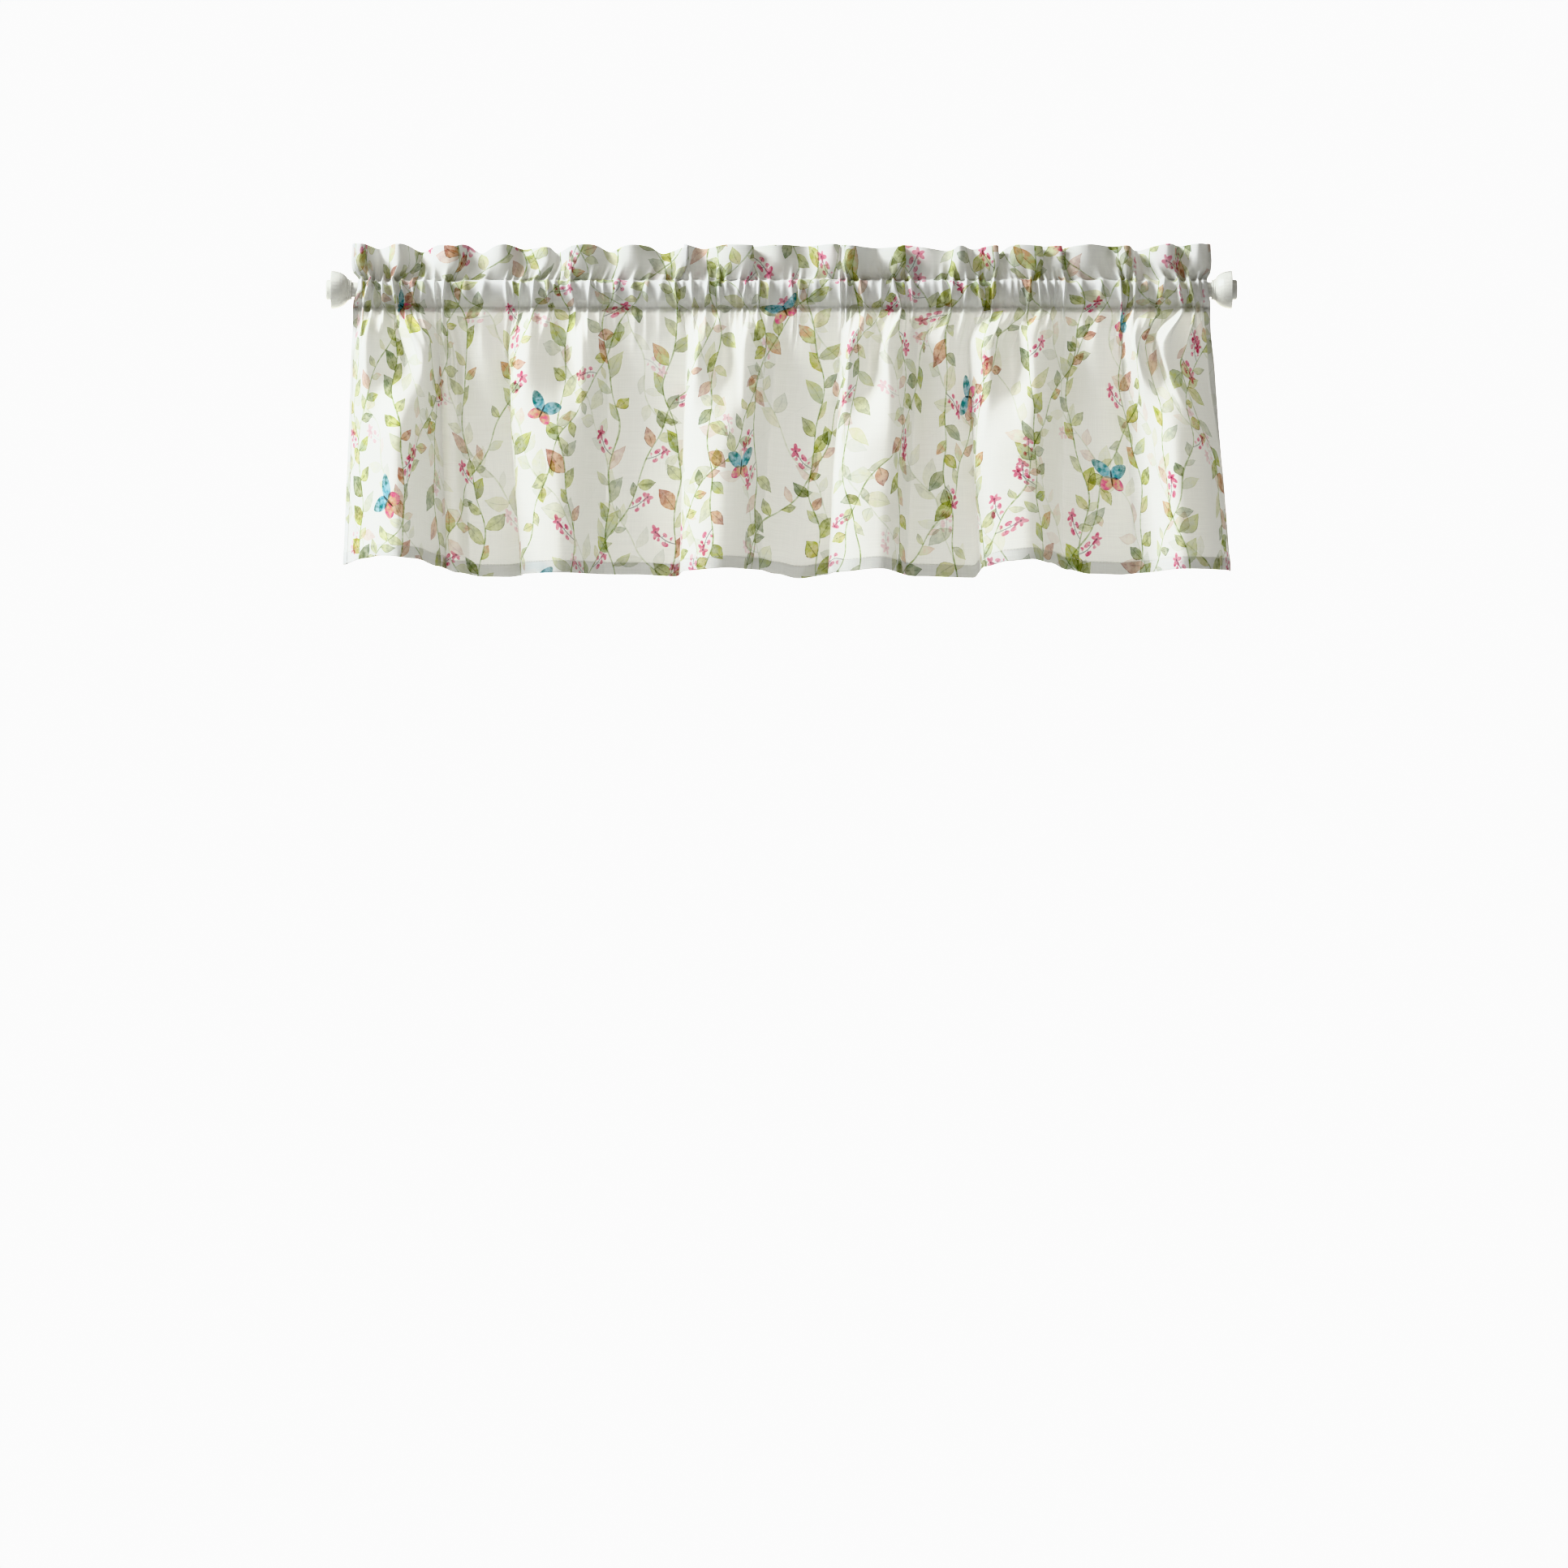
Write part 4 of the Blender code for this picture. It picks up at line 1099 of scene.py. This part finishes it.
def cotton_material(settings, seams):
    """Sheer printed cotton: the wrong side shows the print paler, and light comes through."""
    colors = {name: (*getattr(settings, name), 1.0) for name in PRINT_COLORS}
    material, board = new_material("printed_cotton_cloth")
    place = board.out(board.add("ShaderNodeUVMap", uv_map="flat_cloth"))
    ground = colors["ground"]
    _, up, _ = board.split(place)
    hem, pocket, _ = seams
    behind = board.fade(up, pocket - LAYER_EDGE, pocket + LAYER_EDGE)
    behind = behind + board.fade(up, hem + LAYER_EDGE, hem - LAYER_EDGE)
    shown = board.group(print_group(colors), {
        "Place": place, "Scale": settings.print_scale, "Ground": ground, "Behind": behind})["Color"]
    weave = board.group(weave_group(), {"Place": place, "Yarn": settings.yarn})
    wrong_side = board.out(board.add("ShaderNodeNewGeometry"), "Backfacing")
    shown = board.mix(wrong_side * WRONG_SIDE_PALER, shown, ground)
    tint = board.fade(weave["Shade"], 0.25, 0.75) * 0.07 + 0.93
    tint = board.vector(tint, tint, tint)
    shown = board.wash(1.0, shown, tint)
    height = weave["Height"]
    for seam in seams:
        line = board.fade(abs(up - seam), SEAM_HALF_WIDTH, SEAM_CORE)
        height = height - line * SEAM_DEPTH
    bump = board.bump(height, strength=0.25, distance=0.0004)
    cotton = board.add("ShaderNodeBsdfPrincipled", {
        "Base Color": shown, "Roughness": 0.88, "Sheen Weight": 0.12, "Specular IOR Level": 0.2,
        "Normal": bump})
    through = board.add("ShaderNodeBsdfTranslucent", {"Color": shown, "Normal": bump})
    both = board.add("ShaderNodeMixShader", {
        0: LIGHT_THROUGH, 1: board.out(cotton), 2: board.out(through)})
    board.surface(board.out(both))
    return material


# ---------------------------------------------------------------- pieces

def add_piece(name, bm, material):
    """Object made from a finished bmesh, at the origin."""
    mesh = bpy.data.meshes.new(name)
    bm.to_mesh(mesh)
    bm.free()
    mesh.materials.append(material)
    piece = bpy.data.objects.new(name, mesh)
    bpy.context.scene.collection.objects.link(piece)
    return piece


def new_material(name):
    """Empty material and the board that takes its nodes."""
    material = bpy.data.materials.new(name)
    material.use_nodes = True
    material.node_tree.nodes.clear()
    return material, Board(material.node_tree)


def floor_material(color):
    """Plain pale floor; its glow is for the camera alone, so it lights nothing."""
    material, board = new_material("floor_paper")
    seen = board.out(board.add("ShaderNodeLightPath"), "Is Camera Ray")
    shader = board.add("ShaderNodeBsdfPrincipled", {
        "Base Color": (*color, 1.0), "Roughness": FLOOR_ROUGHNESS,
        "Emission Color": (*color, 1.0), "Emission Strength": seen * FLOOR_GLOW})
    board.surface(board.out(shader))
    return material


class ClothSettings(bpy.types.PropertyGroup):
    """Sizes of the cloth."""
    heading_height: FloatProperty(
        name="Heading height", description="Ruffle that stands above the pocket",
        default=0.038, min=0.01, max=0.08, unit="LENGTH")
    hem_depth: FloatProperty(
        name="Hem depth", description="Depth of the stitched bottom hem",
        default=0.0127, min=0.005, max=0.04, unit="LENGTH")
    unevenness: FloatProperty(
        name="Unevenness", description="How far the cloth strays from its smooth folds",
        default=0.0009, min=0.0, max=0.004, unit="LENGTH")


def color_setting(label, description, color):
    return FloatVectorProperty(name=label, description=description, default=color, min=0.0,
                               max=1.0, size=3, subtype="COLOR")


def power_setting(label, description, power):
    return FloatProperty(name=label, description=description, default=power, min=0.0,
                         unit="POWER")


class PrintSettings(bpy.types.PropertyGroup):
    """Scale and colours of the printed cotton."""
    print_scale: FloatProperty(
        name="Print scale", description="Size of the printed pattern", default=1.0,
        min=0.2, max=5.0)
    yarn: FloatProperty(
        name="Yarn", description="Width of one yarn of the weave", default=0.00055,
        min=0.0002, max=0.002, unit="LENGTH")
    __annotations__.update({name: color_setting(label, label + " of the print", color)
                            for name, (label, color) in PRINT_COLORS.items()})


class PaintSettings(bpy.types.PropertyGroup):
    """Paint of the rod and its finials."""
    paint_color: color_setting(
        "Paint colour", "Colour of the rod and finials", (0.76, 0.755, 0.70))
    paint_roughness: FloatProperty(
        name="Paint roughness", description="Low is glossy, high is matt", default=0.38,
        min=0.05, max=1.0, subtype="FACTOR")


class StageSettings(bpy.types.PropertyGroup):
    """Floor, background and lights."""
    floor_color: color_setting("Floor colour", "Colour of the floor", (0.92, 0.92, 0.91))
    key_power: power_setting("Key light", "Power of the light from the upper left", 330.0)
    fill_power: power_setting("Fill light", "Power of the soft light from the front left", 5.0)
    top_power: power_setting("Top light", "Power of the soft light from above", 18.0)
    back_power: power_setting("Back light", "Power of the light behind the cloth", 55.0)
    backdrop_light: FloatProperty(
        name="Backdrop", description="Brightness of the plain background",
        default=2.4, min=0.0)
    room_light: FloatProperty(
        name="Room light", description="Strength of the light from all round",
        default=0.2, min=0.0)


class VALANCE_OT_make_cloth(bpy.types.Operator):
    """Hang the printed cloth on the rod by its pocket"""
    bl_idname = "valance.make_cloth"
    bl_label = "Make the cloth"

    def execute(self, context):
        drape = Drape(context.scene.valance_cloth)
        rows, stitch_rows = sheet_rows(drape)
        rows, places = with_side_hems(rows, drape.columns)
        heights = flat_heights(rows)
        bm = cloth_mesh(rows, places, heights)
        cloth = add_piece("printed_valance", bm, cotton_material(
            context.scene.valance_print, [heights[level] * MM for level in stitch_rows]))
        cloth["stitch_rows"] = list(stitch_rows)
        cloth["cut_size"] = [(places[-1] - places[0]) * MM, heights[-1] * MM]
        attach(cloth, "root")
        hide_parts("valance")
        return {"FINISHED"}


def stitch_line(bm, points):
    """Short raised stitches along one row of the cloth."""
    lengths = [0.0]
    for a, b in zip(points, points[1:]):
        lengths.append(lengths[-1] + (b - a).length)
    at = 0
    middle = STITCH_PITCH
    while middle < lengths[-1]:
        while lengths[at + 1] < middle:
            at += 1
        along = (points[at + 1] - points[at]).normalized()
        part = (middle - lengths[at]) / (lengths[at + 1] - lengths[at])
        place = points[at].lerp(points[at + 1], part)
        out = along.cross(Vector((0.0, 0.0, 1.0))).normalized()
        turn = along.to_track_quat("X", "Z").to_matrix().to_4x4()
        shape = Matrix.Diagonal((0.5 * STITCH_LENGTH, STITCH_RADIUS, STITCH_RADIUS, 1.0))
        matrix = Matrix.Translation(place + out * STITCH_PROUD) @ turn @ shape
        bmesh.ops.create_icosphere(bm, subdivisions=1, radius=1.0, matrix=matrix)
        middle += STITCH_PITCH


def thread_material():
    """Twisted sewing thread, a little creamier than the cloth."""
    material, board = new_material("sewing_thread")
    place = board.out(board.add("ShaderNodeTexCoord"), "Object")
    ply = board.noise(place, scale=2600.0, detail=1.0)
    shown = board.mix(board.fade(ply, 0.3, 0.7), THREAD_DARK, THREAD_LIGHT)
    bump = board.bump(ply, strength=0.3, distance=0.0002)
    shader = board.add("ShaderNodeBsdfPrincipled", {
        "Base Color": shown, "Roughness": 0.6, "Normal": bump})
    board.surface(board.out(shader))
    return material


class VALANCE_OT_sew_stitching(bpy.types.Operator):
    """Sew the hem and the two rows of the rod pocket"""
    bl_idname = "valance.sew_stitching"
    bl_label = "Sew the stitching"

    def execute(self, context):
        cloth = bpy.data.objects["printed_valance"]
        row_of = cloth.data.attributes["cloth_row"].data
        lines = {level: [] for level in cloth["stitch_rows"]}
        for vert, mark in zip(cloth.data.vertices, row_of):
            if mark.value in lines:
                lines[mark.value].append(vert.co.copy())
        bm = bmesh.new()
        for points in lines.values():
            stitch_line(bm, points[SIDE_HEM_COLUMNS:-SIDE_HEM_COLUMNS])
        for face in bm.faces:
            face.smooth = True
        stitching = add_piece("stitching", bm, thread_material())
        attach(stitching, "root")
        return {"FINISHED"}


def paint_group():
    """Brushed paint: slight changes of its colour, and the height of its brush marks."""
    board = new_group("brushed_paint", ("Place:Vector", "Along Scale"), ("Tone", "Height"))
    g = board.given
    x, y, z = board.split(g["Place"])
    cloudy = board.noise(g["Place"], scale=60.0, detail=3.0)
    stretched = board.vector(x * g["Along Scale"], y * ROUND_MARKS, z * ROUND_MARKS)
    marks = board.noise(stretched, scale=1.0)
    return close_group(board, {"Tone": cloudy * 0.6 + marks * 0.4, "Height": marks})


def painted_material(name, settings, along_scale):
    """Satin paint in the colour of the rod and its finials."""
    material, board = new_material(name)
    place = board.out(board.add("ShaderNodeTexCoord"), "Object")
    paint = board.group(paint_group(), {"Place": place, "Along Scale": along_scale})
    color = tuple(settings.paint_color)
    worn = tuple(part * WORN_PAINT for part in color)
    shown = board.mix(board.fade(paint["Tone"], 0.35, 0.65), (*worn, 1.0), (*color, 1.0))
    gloss = board.fade(paint["Tone"], 0.3, 0.7) * GLOSS_CHANGE
    gloss = gloss + settings.paint_roughness - 0.5 * GLOSS_CHANGE
    bump = board.bump(paint["Height"], strength=0.15, distance=0.0002)
    shader = board.add("ShaderNodeBsdfPrincipled", {
        "Base Color": shown, "Roughness": gloss, "Coat Weight": 0.2, "Coat Roughness": 0.25,
        "Normal": bump})
    board.surface(board.out(shader))
    return material


class VALANCE_OT_paint_rod(bpy.types.Operator):
    """Paint the curtain rod"""
    bl_idname = "valance.paint_rod"
    bl_label = "Paint the rod"

    def execute(self, context):
        material = painted_material("rod_paint", context.scene.valance_paint, ROD_MARKS)
        bpy.data.objects["rod"].material_slots[0].material = material
        return {"FINISHED"}


class VALANCE_OT_paint_finials(bpy.types.Operator):
    """Paint the two turned finials"""
    bl_idname = "valance.paint_finials"
    bl_label = "Paint the finials"

    def execute(self, context):
        material = painted_material("finial_paint", context.scene.valance_paint, FINIAL_MARKS)
        for name in ("finial_left", "finial_right"):
            bpy.data.objects[name].material_slots[0].material = material
        return {"FINISHED"}


def floor_mesh():
    """Plain floor in front of the window."""
    bm = bmesh.new()
    (left, right), (front, back) = FLOOR_X, FLOOR_Y
    bmesh.ops.create_grid(bm, x_segments=1, y_segments=1, size=0.5)
    bmesh.ops.scale(bm, verts=bm.verts, vec=(right - left, back - front, 1.0))
    middle = (0.5 * (left + right), 0.5 * (front + back), FLOOR_Z)
    bmesh.ops.translate(bm, verts=bm.verts, vec=middle)
    return bm


def add_lamp(lamp, power):
    """Soft rectangular light that the camera doesn't see."""
    data = bpy.data.lights.new(lamp.name, "AREA")
    data.color = lamp.color
    data.shape = "RECTANGLE"
    data.size, data.size_y = lamp.size
    data.energy = power
    light = bpy.data.objects.new(lamp.name, data)
    light.location = lamp.place
    aim = Vector(lamp.target) - Vector(lamp.place)
    light.rotation_euler = aim.to_track_quat("-Z", "Y").to_euler()
    light.visible_camera = False
    bpy.context.scene.collection.objects.link(light)


def room_world(stage):
    """Soft light from all round, and a plain bright background where the camera looks."""
    world = bpy.data.worlds.new("room")
    world.use_nodes = True
    world.node_tree.nodes.clear()
    board = Board(world.node_tree)
    seen = board.out(board.add("ShaderNodeLightPath"), "Is Camera Ray")
    room, backdrop = [
        board.out(board.add("ShaderNodeBackground", {"Color": (*color, 1.0), "Strength": strength}))
        for color, strength in ((WARM_LIGHT, stage.room_light),
                                (NEUTRAL_LIGHT, stage.backdrop_light))]
    both = board.out(board.add("ShaderNodeMixShader", {0: seen, 1: room, 2: backdrop}))
    board.surface(both, "World")
    return world


def add_camera(scene):
    data = bpy.data.cameras.new("camera")
    data.lens = FILM_WIDTH * CAMERA_DISTANCE / PICTURE_WIDTH
    camera = bpy.data.objects.new("camera", data)
    camera.location = (CAMERA_X, -CAMERA_DISTANCE, CAMERA_Z)
    camera.rotation_euler = (math.pi / 2.0, 0.0, 0.0)
    scene.collection.objects.link(camera)
    scene.camera = camera


class VALANCE_OT_make_stage(bpy.types.Operator):
    """Set the floor, the lights and the camera"""
    bl_idname = "valance.make_stage"
    bl_label = "Set the stage"

    def execute(self, context):
        scene = context.scene
        stage = scene.valance_stage
        floor = add_piece("floor", floor_mesh(), floor_material(stage.floor_color))
        for lamp in LAMPS:
            add_lamp(lamp, getattr(stage, lamp.name + "_power"))
        scene.world = room_world(stage)
        scene.view_settings.view_transform = "Khronos PBR Neutral"
        add_camera(scene)
        return {"FINISHED"}


class VALANCE_PT_sidebar(bpy.types.Panel):
    """Settings and steps of the valance"""
    bl_label = "Window valance"
    bl_idname = "VALANCE_PT_sidebar"
    bl_space_type = "VIEW_3D"
    bl_region_type = "UI"
    bl_category = "Valance"

    def draw(self, context):
        for group in ("valance_cloth", "valance_print", "valance_paint", "valance_stage"):
            settings = getattr(context.scene, group)
            column = self.layout.column(align=True)
            for name in settings.__annotations__:
                column.prop(settings, name)
        for operator in STEPS:
            self.layout.operator(operator.bl_idname)


SETTINGS = {"valance_cloth": ClothSettings, "valance_print": PrintSettings,
            "valance_paint": PaintSettings, "valance_stage": StageSettings}
STEPS = (VALANCE_OT_make_cloth, VALANCE_OT_sew_stitching, VALANCE_OT_paint_rod,
         VALANCE_OT_paint_finials, VALANCE_OT_make_stage)
CLASSES = (*SETTINGS.values(), *STEPS, VALANCE_PT_sidebar)


def register():
    for item in CLASSES:
        bpy.utils.register_class(item)
    for name, group in SETTINGS.items():
        setattr(bpy.types.Scene, name, PointerProperty(type=group))


def unregister():
    for name in SETTINGS:
        delattr(bpy.types.Scene, name)
    for item in reversed(CLASSES):
        bpy.utils.unregister_class(item)


def main():
    register()
    bpy.ops.valance.make_cloth()
    bpy.ops.valance.sew_stitching()
    bpy.ops.valance.paint_rod()
    bpy.ops.valance.paint_finials()
    bpy.ops.valance.make_stage()


if __name__ == "__main__":
    main()
